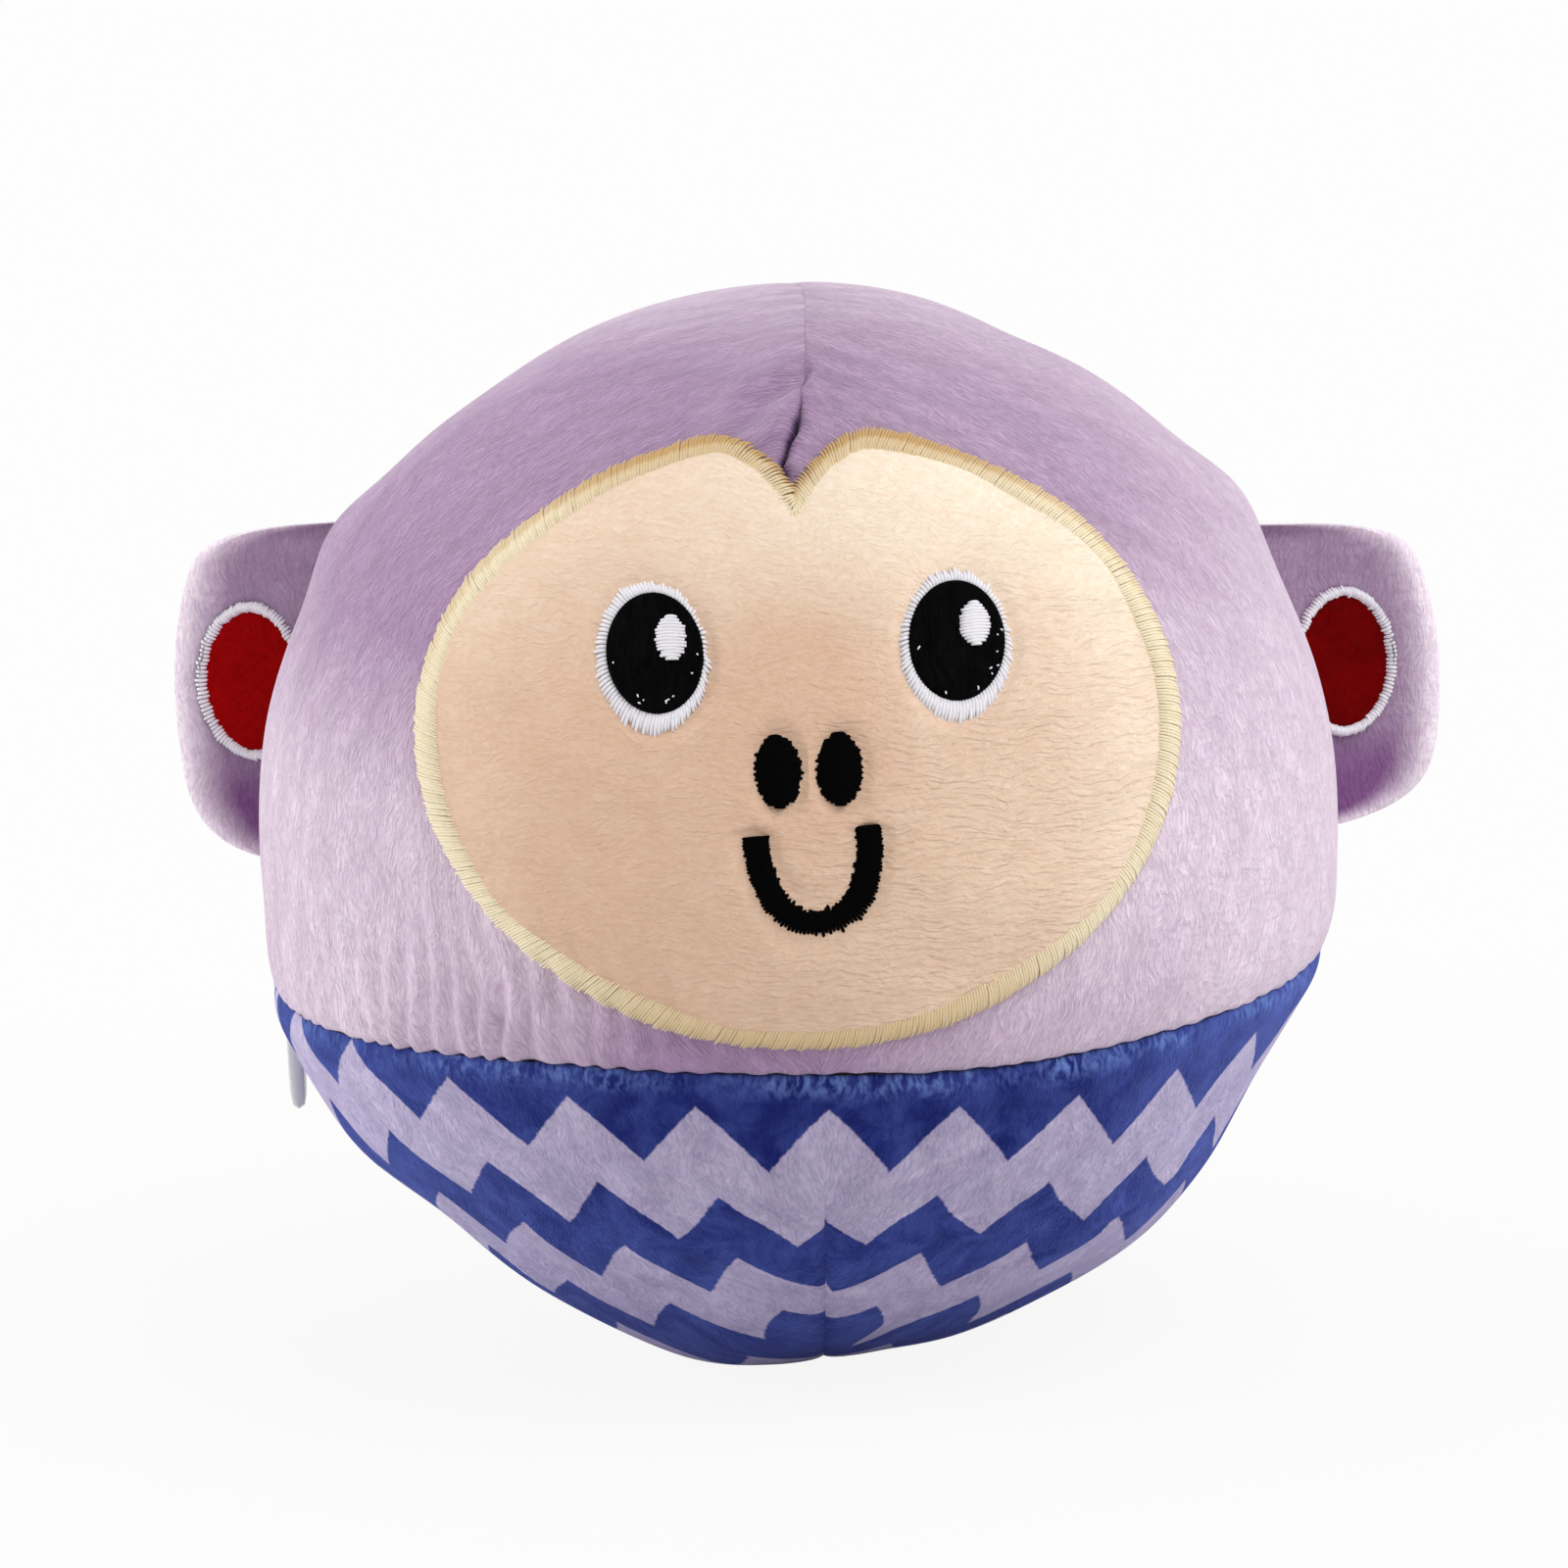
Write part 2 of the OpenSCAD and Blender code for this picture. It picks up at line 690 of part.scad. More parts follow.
module padding_upper() color("ivory") padding(seam_lat, 90);

module padding_lower() color("ivory") padding(-90, seam_lat);

// Children at the four core screws
module at_core_screws() {
    for (x = [-core_screw_at, core_screw_at], y = [-core_screw_at, core_screw_at])
        translate([x, y, 0]) children();
}

// Children at the three clamp screws
module at_clamp_screws() {
    for (a = [60, 180, 300]) rotate([0, 0, a]) translate([clamp_r, 0, 0]) children();
}

module core_upper_shell() color("white") at_middle() difference() {
    union() {
        difference() {
            sphere(r = core_r);
            sphere(r = core_in);
            translate([0, 0, -core_d + 0.05]) cube(2 * core_d, center = true);
        }
        intersection() {
            sphere(r = core_r - core_wall / 2);
            union() {
                translate([0, 0, 0.05]) at_core_screws() cylinder(r = boss_r, h = core_r);
                translate([0, 0, flange_top + sew_gap]) difference() {
                    cylinder(r = flange_r + 1, h = speaker_z);
                    translate([0, 0, -1]) cylinder(r = flange_r - 3, h = core_r);
                }
                translate([0, 0, flange_z]) at_clamp_screws() cylinder(r = screw_r + 1.4, h = core_r);
            }
        }
    }
    translate([0, 0, -1]) at_core_screws() cylinder(r = screw_r + 0.05, h = 11);
    translate([0, 0, flange_z - 1]) at_clamp_screws() cylinder(r = screw_r + 0.05, h = 5.5);
    cylinder(r = grille_r, h = core_d);
    for (a = [0 : 60 : 300]) rotate([0, 0, a]) translate([5, 0, 0]) cylinder(r = grille_r, h = core_d);
    for (a = [0 : 30 : 330]) rotate([0, 0, a]) translate([10, 0, 0]) cylinder(r = grille_r, h = core_d);
}

// Block with a middle in X and Y and its lower face at a height
module block(x, y, z, l, w, h) {
    translate([x - l / 2, y - w / 2, z]) cube([l, w, h]);
}

// Openings of the power switch in the back of the lower shell
module switch_cut() {
    translate([0, switch_floor + core_r / 2, 0])
        block(0, 0, switch_z - frame_h / 2 - fit_clear, frame_l + 2 * fit_clear, core_r,
            frame_h + 2 * fit_clear);
    block(0, switch_floor - switch_hollow / 2 + 0.05, switch_z - knob_foot_h / 2 - knob_slack,
        switch_travel + knob_foot_l + 2 * knob_slack, switch_hollow + 0.1, knob_foot_h + 2 * knob_slack);
    for (side = [-1, 1]) translate([side * switch_screw_x, switch_floor + 1, switch_z]) rotate([90, 0, 0])
        cylinder(r = screw_r * 0.6 + 0.05, h = 4.5);
}

module core_lower_shell() color("white") at_middle() difference() {
    union() {
        difference() {
            intersection() {
                sphere(r = core_r);
                translate([0, 0, -core_flat / 2]) cube([core_d, core_d, core_flat], center = true);
            }
            intersection() {
                sphere(r = core_in);
                translate([0, 0, core_d / 2 - core_flat + floor_t]) cube([core_d, core_d, core_d], center = true);
            }
        }
        intersection() {
            sphere(r = core_r - core_wall / 2);
            translate([0, 0, -core_flat / 2]) cube([core_d, core_d, core_flat], center = true);
            union() {
                translate([0, 0, -core_r]) at_core_screws() cylinder(r = boss_r, h = core_r);
                block(0, 0, -core_flat, bay_l + 2 * bay_wall, bay_w + 2 * bay_wall, core_flat + roof_top);
                translate([0, lobe_y, -core_flat]) cylinder(r = lobe_r, h = floor_t + 4);
                block(0, core_r, switch_z - frame_h / 2 - switch_wall, frame_l + 2 * switch_wall, 2 * switch_depth,
                    frame_h + 2 * switch_wall);
            }
        }
        for (x = [-post_x, post_x], y = [-post_y, post_y])
            translate([x, y, roof_top - 0.5]) cylinder(r = screw_r + 1.3, h = post_h + 0.5);
    }
    block(0, 0, door_top - 0.1, bay_l, bay_w, bay_top - door_top + 0.1);
    block(0, 0, -core_flat - 1, door_l + 2 * fit_clear, door_w + 2 * fit_clear, door_t + 1);
    translate([0, lobe_y, -core_flat - 1]) cylinder(r = lobe_r + fit_clear, h = door_t + 1);
    block(0, lobe_y / 2, -core_flat - 1, 2 * (lobe_r + fit_clear), lobe_y, door_t + 1);
    translate([0, lobe_y, -core_flat - 1]) cylinder(r = screw_r + 0.05, h = floor_t + 3.5);
    for (x = [-tab_x, tab_x])
        block(x, -door_w / 2 - 0.5, tab_z - fit_clear, tab_l + 2 * fit_clear, 2 + 2 * fit_clear,
            tab_t + 2 * fit_clear);
    translate([0, 0, -core_r]) at_core_screws() cylinder(r = screw_head_r + fit_clear, h = core_r + seat_z);
    translate([0, 0, seat_z - 0.1]) at_core_screws() cylinder(r = screw_r + fit_clear, h = -seat_z + 1);
    for (x = [-post_x, post_x], y = [-post_y, post_y])
        translate([x, y, roof_top + 0.6]) cylinder(r = screw_r * 0.8 + 0.05, h = post_h);
    for (y = [-cell_pitch, cell_pitch])
        block(contact_x + contact_t / 2, y, bay_top - 0.5, contact_t + 0.5, 3 + 2 * fit_clear, bay_wall + 1);
    switch_cut();
}

// Screw with its head below and its shank upward
module screw_up(shank_r, shank_l, head_r, head_h) {
    translate([0, 0, -head_h]) cylinder(r = head_r, h = head_h);
    cylinder(r = shank_r, h = shank_l);
}

module core_screws() color("silver") at_middle() translate([0, 0, seat_z]) at_core_screws()
    screw_up(screw_r, -seat_z + 9, screw_head_r, 2);

module battery_door() color("white") at_middle() difference() {
    union() {
        block(0, 0, -core_flat, door_l, door_w, door_t);
        translate([0, lobe_y, -core_flat]) cylinder(r = lobe_r, h = door_t);
        block(0, lobe_y / 2, -core_flat, 2 * lobe_r, lobe_y, door_t);
        for (x = [-tab_x, tab_x]) block(x, -door_w / 2 - 0.2, tab_z, tab_l, 1.8, tab_t);
    }
    translate([0, lobe_y, -core_flat - 1]) cylinder(r = screw_r + fit_clear, h = door_t + 2);
    translate([0, lobe_y, -core_flat - 1]) cylinder(r = screw_head_r + fit_clear, h = 1 + door_t / 2);
}

module battery_door_screw() color("silver") at_middle() translate([0, lobe_y, -core_flat + door_t / 2])
    screw_up(screw_r, floor_t + 2 - door_t / 2, screw_head_r, door_t / 2);

// Direction of each cell, turn and turn about
function cell_turn(i) = i == 0 ? -1 : 1;
spring_l = contact_space - 1.6;
cell_x = spring_l / 2 + 0.15;

module battery_cells() color("goldenrod") at_middle() for (i = [-1 : 1])
    translate([0, i * cell_pitch, cell_z]) rotate([0, 0, cell_turn(i) > 0 ? 0 : 180])
        translate([cell_x - cell_l / 2 - 0.2, 0, 0]) rotate([0, 90, 0]) {
            cylinder(r = cell_d / 2, h = cell_l - 1);
            cylinder(r = 1.9, h = cell_l);
        }

// Tube of eight sides along a list of points
function unit(v) = v / norm(v);
function along(path, i) = unit(path[min(i + 1, len(path) - 1)] - path[max(i - 1, 0)]);
function tube_ring(p, t, r, ref, n) = let (b = unit(cross(t, ref)), c = cross(b, t))
    [for (i = [0 : n - 1]) p + r * (cos(360 * i / n) * b + sin(360 * i / n) * c)];

module tube(path, r, ref, n) {
    last = len(path) - 1;
    points = [for (i = [0 : last]) each tube_ring(path[i], along(path, i), r, ref, n)];
    sides = [for (i = [0 : last - 1], j = [0 : n - 1])
        let (a = i * n + j, b = i * n + (j + 1) % n)
        each [[a, b, a + n], [b, b + n, a + n]]];
    caps = [[for (j = [n - 1 : -1 : 0]) j], [for (j = [0 : n - 1]) last * n + j]];
    polyhedron(points = points, faces = concat(sides, caps), convexity = 6);
}

// Coil spring that tapers toward its cell
function spring_path(turns, steps) = [for (i = [0 : turns * steps])
    let (q = i / (turns * steps), a = 360 * i / steps, r = 3.4 - 1.2 * q)
    [q * (spring_l - 0.9), r * cos(a), r * sin(a)]];

module battery_springs() color("silver") at_middle() for (i = [-1 : 1])
    translate([0, i * cell_pitch, cell_z]) rotate([0, 0, cell_turn(i) > 0 ? 0 : 180])
        translate([-bay_l / 2 + 0.15 + contact_t + 0.4, 0, 0]) tube(spring_path(3, 10), 0.3, [1, 0, 0], 6);

module battery_plates() color("silver") at_middle() {
    for (i = [-1 : 1], end = [-1, 1])
        block(end * (contact_x + contact_t / 2), i * cell_pitch, cell_z - 4, contact_t, 8, 8);
    for (y = [-cell_pitch, cell_pitch])
        block(contact_x + contact_t / 2, y, cell_z + 3.5, contact_t, 3, board_z - sew_gap - cell_z - 3.5);
}

module circuit_board() color("darkgreen") at_middle() difference() {
    block(0, 0, board_z, board_l, board_w, board_t);
    for (x = [-post_x, post_x], y = [-post_y, post_y])
        translate([x, y, board_z - 1]) cylinder(r = screw_r * 0.8 + fit_clear, h = board_t + 2);
}

module sound_chip() color("dimgray") at_middle() block(-8, 5, board_top + 0.05, 10, 8, 2.2);

module capacitor() color("navy") at_middle() translate([9, 6, board_top + 0.05]) cylinder(r = 3, h = 8);

module resistors() color("tan") at_middle() for (x = [-2, 0.5, 3]) block(x, 12, board_top + 0.05, 1.2, 3.2, 0.8);

module board_screws() color("silver") at_middle() for (x = [-post_x, post_x], y = [-post_y, post_y])
    translate([x, y, board_top]) rotate([180, 0, 0])
        screw_up(screw_r * 0.8, board_t + 3.5, screw_head_r * 0.8, 1.3);

// Frame of the roll sensor: its can lies along X with the ball's travel in the middle
module at_can() {
    at_middle() translate([0, can_y, can_z]) rotate([0, 90, 0]) children();
}

module roll_sensor_can() color("silver") at_can() translate([0, 0, -can_space / 2 - 0.8]) difference() {
    cylinder(r = can_r, h = can_space + 1.6);
    translate([0, 0, 0.6]) cylinder(r = can_bore, h = can_space + 2);
}

module roll_sensor_ball() color("gold") at_can() translate([0, 0, -roll_travel / 2])
    sphere(r = roll_ball_r, $fn = 48);

module roll_sensor_cap() color("dimgray") at_can() translate([0, 0, can_space / 2 + 0.2])
    cylinder(r = can_bore - 0.05, h = 1.2);

module power_switch_frame() color("dimgray") at_middle() difference() {
    block(0, switch_floor + frame_t / 2, switch_z - frame_h / 2, frame_l, frame_t, frame_h);
    block(0, switch_floor + frame_t / 2, switch_z - knob_stem_h / 2 - knob_slack, frame_hole_l, 3 * frame_t,
        knob_stem_h + 2 * knob_slack);
    for (side = [-1, 1])
        translate([side * switch_screw_x, switch_floor + 2 * frame_t, switch_z]) rotate([90, 0, 0])
            cylinder(r = screw_r * 0.6 + 0.1, h = 4 * frame_t);
}

module power_switch_knob() color("red") at_middle() translate([-switch_travel / 2, 0, 0]) {
    block(0, switch_floor - knob_slack - knob_foot_t / 2, switch_z - knob_foot_h / 2, knob_foot_l, knob_foot_t,
        knob_foot_h);
    block(0, switch_floor + 1, switch_z - knob_stem_h / 2, knob_stem_l, 4, knob_stem_h);
}

module power_switch_screws() color("silver") at_middle() for (side = [-1, 1])
    translate([side * switch_screw_x, switch_floor + frame_t, switch_z]) rotate([90, 0, 0])
        screw_up(screw_r * 0.6, frame_t + 3, screw_r, 0.6);

module speaker_basket() color("dimgray") at_middle() rotate_extrude() {
    translate([cup_wall_r - cup_wall_t, flange_z]) square([flange_r - cup_wall_r + cup_wall_t, flange_t]);
    translate([cup_wall_r - cup_wall_t, magnet_top]) square([cup_wall_t, flange_z - magnet_top + 0.1]);
    translate([gap_r, magnet_top]) square([cup_wall_r - gap_r, 1.2]);
}

module speaker_magnet() color("gray") at_middle() rotate_extrude() {
    translate([0, magnet_z]) square([magnet_r, 2]);
    translate([0, magnet_z]) square([pole_r, magnet_top - magnet_z]);
    translate([gap_r, magnet_z]) square([magnet_r - gap_r, magnet_top - magnet_z - 0.05]);
}

module voice_coil() color("sienna") at_middle() rotate_extrude()
    translate([coil_r - 0.7, coil_z]) square([0.7, cone_z - coil_z - 0.05]);

// Paper cone with a small dome in the middle
module speaker_cone() color("black") at_middle() rotate_extrude() union() {
    polygon([[coil_r - 0.7, cone_z], [coil_r, cone_z], [cone_r, flange_z + 0.4], [cone_r, flange_z + 1],
        [cone_r - 0.4, flange_z + 1], [coil_r - 0.6, cone_z + 0.7]]);
    polygon([[0, cone_z + 1.6], [coil_r - 0.5, cone_z], [coil_r - 0.5, cone_z + 0.6], [0, cone_z + 2.2]]);
}

module speaker_clamp() color("white") at_middle() translate([0, 0, flange_z - clamp_t]) difference() {
    union() {
        cylinder(r = flange_r + 1, h = clamp_t - sew_gap);
        at_clamp_screws() {
            cylinder(r = screw_r + 1.6, h = clamp_t - sew_gap);
            translate([-6, -screw_r - 1.6, 0]) cube([6, 2 * screw_r + 3.2, clamp_t - sew_gap]);
        }
    }
    translate([0, 0, -1]) cylinder(r = clamp_in, h = clamp_t + 2);
    translate([0, 0, -1]) at_clamp_screws() cylinder(r = screw_r + fit_clear, h = clamp_t + 2);
}

module speaker_clamp_screws() color("silver") at_middle() translate([0, 0, flange_z - clamp_t])
    at_clamp_screws() screw_up(screw_r, clamp_t + 4, screw_head_r, 1.4);

// Points along a curve with four guide points
function curve(a, b, c, d, n) = [for (i = [0 : n]) let (q = i / n, p = 1 - q)
    p * p * p * a + 3 * p * p * q * b + 3 * p * q * q * c + q * q * q * d];

// Lead from the side of the speaker down to the board
module speaker_lead(side) {
    start = [cup_wall_r + sew_gap, side * lead_apart, magnet_top + 3];
    foot = [cup_wall_r + 0.8, side * (lead_apart + 1), board_top + sew_gap];
    at_middle() tube(curve(start, start + [8, 0, 0], foot + [0, 0, 16], foot, 14), lead_r, [0, 1, 0], 8);
}

module speaker_lead_red() color("red") speaker_lead(1);

module speaker_lead_black() color("black") speaker_lead(-1);

// Two leads from the back of the switch to the board
module switch_leads() color("orange") at_middle() for (side = [-1, 1]) {
    start = [side * lead_apart, core_r - switch_depth - sew_gap, switch_z];
    foot = [side * lead_apart + 8, post_y + 1, board_top + sew_gap];
    tube(curve(start, start - [0, 10, 0], foot + [0, 0, 9], foot, 14), lead_r, [1, 0, 0], 8);
}

head_panel_left();
head_panel_right();
face_panel();
face_border();
eye_white_left();
eye_white_right();
eye_pupil_left();
eye_pupil_right();
eye_glint_left();
eye_glint_right();
nostril_left();
nostril_right();
mouth_stitch();
ear_left();
ear_right();
ear_patch_left();
ear_patch_right();
ear_border_left();
ear_border_right();
lower_cover();
zip_tape_upper();
zip_tape_lower();
zip_teeth_upper();
zip_teeth_lower();
zip_end_stops();
zip_slider();
zip_link();
zip_pull();
padding_upper();
padding_lower();
core_upper_shell();
core_lower_shell();
core_screws();
battery_door();
battery_door_screw();
battery_cells();
battery_springs();
battery_plates();
circuit_board();
sound_chip();
capacitor();
resistors();
board_screws();
roll_sensor_can();
roll_sensor_ball();
roll_sensor_cap();
power_switch_frame();
power_switch_knob();
power_switch_screws();
speaker_basket();
speaker_magnet();
speaker_cone();
voice_coil();
speaker_clamp();
speaker_clamp_screws();
speaker_lead_red();
speaker_lead_black();
switch_leads();
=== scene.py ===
import json
from math import asin, cos, pi, radians, sin

import bpy
import numpy as np
from mathutils import Matrix, Vector


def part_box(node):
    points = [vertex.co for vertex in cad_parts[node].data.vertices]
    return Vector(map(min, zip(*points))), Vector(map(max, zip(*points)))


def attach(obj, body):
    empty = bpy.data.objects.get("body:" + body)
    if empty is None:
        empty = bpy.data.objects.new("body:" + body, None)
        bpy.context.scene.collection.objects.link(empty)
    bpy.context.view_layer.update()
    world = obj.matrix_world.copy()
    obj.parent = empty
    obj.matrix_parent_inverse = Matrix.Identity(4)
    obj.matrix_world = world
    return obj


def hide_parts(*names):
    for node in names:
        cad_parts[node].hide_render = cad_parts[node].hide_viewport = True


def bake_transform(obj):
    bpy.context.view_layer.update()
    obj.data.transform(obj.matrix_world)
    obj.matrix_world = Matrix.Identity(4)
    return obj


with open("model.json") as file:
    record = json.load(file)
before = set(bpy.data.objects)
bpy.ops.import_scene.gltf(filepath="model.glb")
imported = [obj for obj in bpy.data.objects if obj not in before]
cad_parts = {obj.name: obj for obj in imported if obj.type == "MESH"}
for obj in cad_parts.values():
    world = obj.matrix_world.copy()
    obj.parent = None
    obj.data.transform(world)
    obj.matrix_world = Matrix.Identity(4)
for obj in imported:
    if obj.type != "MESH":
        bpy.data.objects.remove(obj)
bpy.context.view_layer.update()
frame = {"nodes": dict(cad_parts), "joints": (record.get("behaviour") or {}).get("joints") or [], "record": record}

# Camera
# A long lens a little above the ball and a hair to its left, rolled slightly, as the photograph was taken.
MM = 0.001
panel_low, panel_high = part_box("head_panel_left")
ball_r = -panel_low.x / MM
middle = np.array([0.0, 0.0, panel_high.z / MM - ball_r])
camera_away = 700.0
camera_rise = radians(9.5)
camera_left = radians(1.2)
camera_roll = radians(2.3)
picture_px = 1600
focal_px = 6015.0
ball_seen_at = (815, 839)


def unit(vectors):
    """Vectors divided by their lengths."""
    return vectors / np.linalg.norm(vectors, axis=-1, keepdims=True)


def toward(lon, lat):
    """Unit directions from the ball's middle: lon turns from the front to the right, lat rises."""
    return np.stack([np.sin(lon) * np.cos(lat), -np.cos(lon) * np.cos(lat), np.sin(lat) + 0 * lon], -1)


outward = toward(-camera_left, camera_rise)
level_right = unit(np.cross(-outward, [0, 0, 1]))
level_up = np.cross(level_right, -outward)
rolled_right = level_right * cos(camera_roll) - level_up * sin(camera_roll)
rolled_up = level_up * cos(camera_roll) + level_right * sin(camera_roll)
aside, below = ((place - picture_px / 2) / focal_px for place in ball_seen_at)
look = unit(-outward - aside * rolled_right + below * rolled_up)
view_right = unit(np.cross(look, rolled_up))
view_up = np.cross(view_right, look)


def stand(name, data):
    """A new object in the scene."""
    made = bpy.data.objects.new(name, data)
    bpy.context.scene.collection.objects.link(made)
    return made


camera = stand("camera", bpy.data.cameras.new("camera"))
camera.data.lens = camera.data.sensor_width * focal_px / picture_px
camera_turn = Matrix(np.array([view_right, view_up, -look]).T.tolist())
station = Vector((middle + camera_away * outward) * MM)
camera.matrix_world = Matrix.Translation(station) @ camera_turn.to_4x4()
bpy.context.scene.camera = camera
bpy.context.scene.view_settings.view_transform = "Standard"


# Studio
# A pale floor that goes white away from the ball and keeps its shadow, under four soft boxes: high on the
# right, at each side a little behind, and over the crown.
class Wire:
    """A shader socket. Arithmetic on it adds Math nodes, and add() gives the output of any other node."""

    def __init__(self, tree, socket=None):
        self.tree = tree
        self.socket = socket

    def add(self, kind, settings=None, sockets=None, out=0):
        """A new node: its settings first, then the values or links of its sockets, by name or number."""
        node = self.tree.nodes.new("ShaderNode" + kind)
        for name, value in (settings or {}).items():
            setattr(node, name, value)
        for key, value in (sockets or {}).items():
            if isinstance(value, Wire):
                self.tree.links.new(value.socket, node.inputs[key])
            else:
                node.inputs[key].default_value = value
        return Wire(self.tree, node.outputs[out])

    def math(self, operation, *values):
        """A Math node on this wire and up to two more values."""
        return self.add("Math", {"operation": operation}, dict(enumerate((self, *values))))

    def place(self):
        """Places on the object, in metres."""
        return self.add("TexCoord", out="Object")

    def cloth(self):
        """Places on the cloth, in mm."""
        return self.add("UVMap", {"uv_map": "cloth"})

    def depth(self):
        """The number that the mesh keeps at each point."""
        return self.add("Attribute", {"attribute_name": "depth"}, out="Fac")

    def __add__(self, other):
        return self.math("ADD", other)

    def __sub__(self, other):
        return self.math("SUBTRACT", other)

    def __rsub__(self, other):
        return self.add("Math", {"operation": "SUBTRACT"}, {0: other, 1: self})

    def __mul__(self, other):
        return self.math("MULTIPLY", other)

    __radd__ = __add__
    __rmul__ = __mul__

    def above(self, start, stop):
        """Rises softly from 0 at start to 1 at stop."""
        return self.add("MapRange", {"interpolation_type": "SMOOTHSTEP"},
                        {"Value": self, "From Min": start, "From Max": stop})

    def tint(self, at_zero, at_one):
        """Colour from one to another as this wire goes from 0 to 1; each is a wire or what srgb takes."""
        ends = [end if isinstance(end, Wire) else srgb(*end) for end in (at_zero, at_one)]
        return self.add("Mix", {"data_type": "RGBA"}, {0: self, 6: ends[0], 7: ends[1]}, out=2)

    def dyed(self, tone):
        """This colour multiplied by a tone."""
        return self.add("Mix", {"data_type": "RGBA", "blend_type": "MULTIPLY"},
                        {0: 1.0, 6: self, 7: (*tone, 1)}, out=2)

    def part(self, number):
        """One of a vector's three numbers."""
        return self.add("SeparateXYZ", None, {0: self}, out=number)

    def mm(self, number, sign=1):
        """One of a place's three numbers in mm, or its opposite."""
        return self.part(number) * (sign / MM)

    def stretched(self, *sizes):
        """A vector divided by a size for each of its directions, or by one for all three."""
        shares = [1 / size for size in sizes * (3 // len(sizes))]
        return self.add("VectorMath", {"operation": "MULTIPLY"}, {0: self, 1: shares})

    def grain(self, detail=2.0, rough=0.5, out="Fac", twist=0.0):
        """Noise from 0 to 1 at the places that this vector gives, with cells about 1 unit across."""
        sockets = {"Vector": self, "Scale": 1.0, "Detail": detail, "Roughness": rough, "Distortion": twist}
        return self.add("TexNoise", None, sockets, out)

    def swayed(self, size, amount):
        """A vector pushed about by noise of that size."""
        push = self.stretched(size).grain(1.0, out="Color")
        return self.add("VectorMath", {"operation": "MULTIPLY_ADD"}, {0: push, 1: [amount] * 3, 2: self})

    def relief(self, height_mm, strength):
        """Bump of that height from this wire, fed to the shader."""
        sockets = {"Height": self, "Distance": height_mm * MM, "Strength": strength}
        self.add("Bump", None, sockets).feed("Normal")

    def feed(self, socket):
        """Links this wire to a socket of the finish's shader."""
        self.tree.links.new(self.socket, self.tree.nodes["Principled BSDF"].inputs[socket])


def srgb(red, green, blue, share=1.0):
    """Linear colour of a shade given as it looks on a screen, from 0 to 255, dimmed to a share."""
    shade = np.array([red, green, blue]) / 255
    linear = np.where(shade <= 0.04045, shade / 12.92, ((shade + 0.055) / 1.055) ** 2.4)
    return (*(share * linear).tolist(), 1.0)


def seen_directly(wire):
    """1 for rays from the camera, in reflections and through glass, and 0 for light falling on things."""
    kinds = ("Is Camera Ray", "Is Glossy Ray", "Is Transmission Ray")
    rays = [wire.add("LightPath", out=kind) for kind in kinds]
    return rays[0].math("MAXIMUM", rays[1].math("MAXIMUM", rays[2]))


ambient = 0.50
world = bpy.data.worlds.new("studio")
bpy.context.scene.world = world
world.use_nodes = True
background = world.node_tree.nodes["Background"]
background.inputs["Color"].default_value = (1, 1, 1, 1)
sky_strength = ambient + (1 - ambient) * seen_directly(Wire(world.node_tree))
world.node_tree.links.new(sky_strength.socket, background.inputs["Strength"])

floor_half = 20.0
shadow_near = 0.05
shadow_far = 0.26
shadow_share = 0.08
paper_grey = (0.8, 0.8, 0.8, 1)
paper_glow = (0.985, 0.985, 0.98, 1)
floor_mesh = bpy.data.meshes.new("floor")
floor_corners = floor_half * np.array([[-1, -1, 0], [1, -1, 0], [1, 1, 0], [-1, 1, 0]])
floor_mesh.from_pydata(floor_corners.tolist(), [], [(0, 1, 2, 3)])
floor = stand("floor", floor_mesh)
floor_finish = bpy.data.materials.new("floor_paper")
floor_finish.use_nodes = True
floor_tree = floor_finish.node_tree
floor_tree.nodes.clear()
paper = Wire(floor_tree)
floor_away = paper.place()
floor_away = floor_away.add("VectorMath", {"operation": "LENGTH"}, {0: floor_away}, out="Value")
bright = 1 - shadow_share * (1 - floor_away.above(shadow_near, shadow_far))
matt = paper.add("BsdfDiffuse", None, {"Color": paper_grey})
glow = paper.add("Emission", None, {"Color": paper_glow, "Strength": 1.0})
floor_mix = paper.add("MixShader", None, {0: seen_directly(paper) * bright, 1: matt, 2: glow})
floor_out = floor_tree.nodes.new("ShaderNodeOutputMaterial")
floor_tree.links.new(floor_mix.socket, floor_out.inputs["Surface"])
floor_mesh.materials.append(floor_finish)

# Each soft box: degrees to the right of the front, degrees up, distance and size in metres, power in watts
soft_boxes = {
    "key": (44, 50, 0.9, 0.7, 4.4),
    "left_side": (-98, 8, 0.8, 0.6, 4.8),
    "right_side": (100, 6, 0.8, 0.6, 2.0),
    "crown": (180, 62, 0.8, 0.6, 0.8),
}
for box_name, (turn, height, away, size, power) in soft_boxes.items():
    lamp = bpy.data.lights.new(box_name, "AREA")
    lamp.energy = power
    lamp.size = size
    aim = Vector(toward(radians(turn), radians(height)))
    soft_box = stand(box_name, lamp)
    soft_box.location = Vector(middle * MM) + aim * away
    soft_box.rotation_euler = aim.to_track_quat("Z", "Y").to_euler()


# Sound core
# A two-part plastic ball with its battery bay, circuit board and loudspeaker, closed with plated screws.
# The solids have their true shapes, so each only gets its finish.
def new_finish(name, **fixed):
    """A material and the wire its nodes start from; fixed values are set on the shader's own sockets."""
    material = bpy.data.materials.new(name)
    material.use_nodes = True
    shader = material.node_tree.nodes["Principled BSDF"]
    for socket, value in fixed.items():
        shader.inputs[socket.replace("_", " ")].default_value = value
    return material, Wire(material.node_tree)


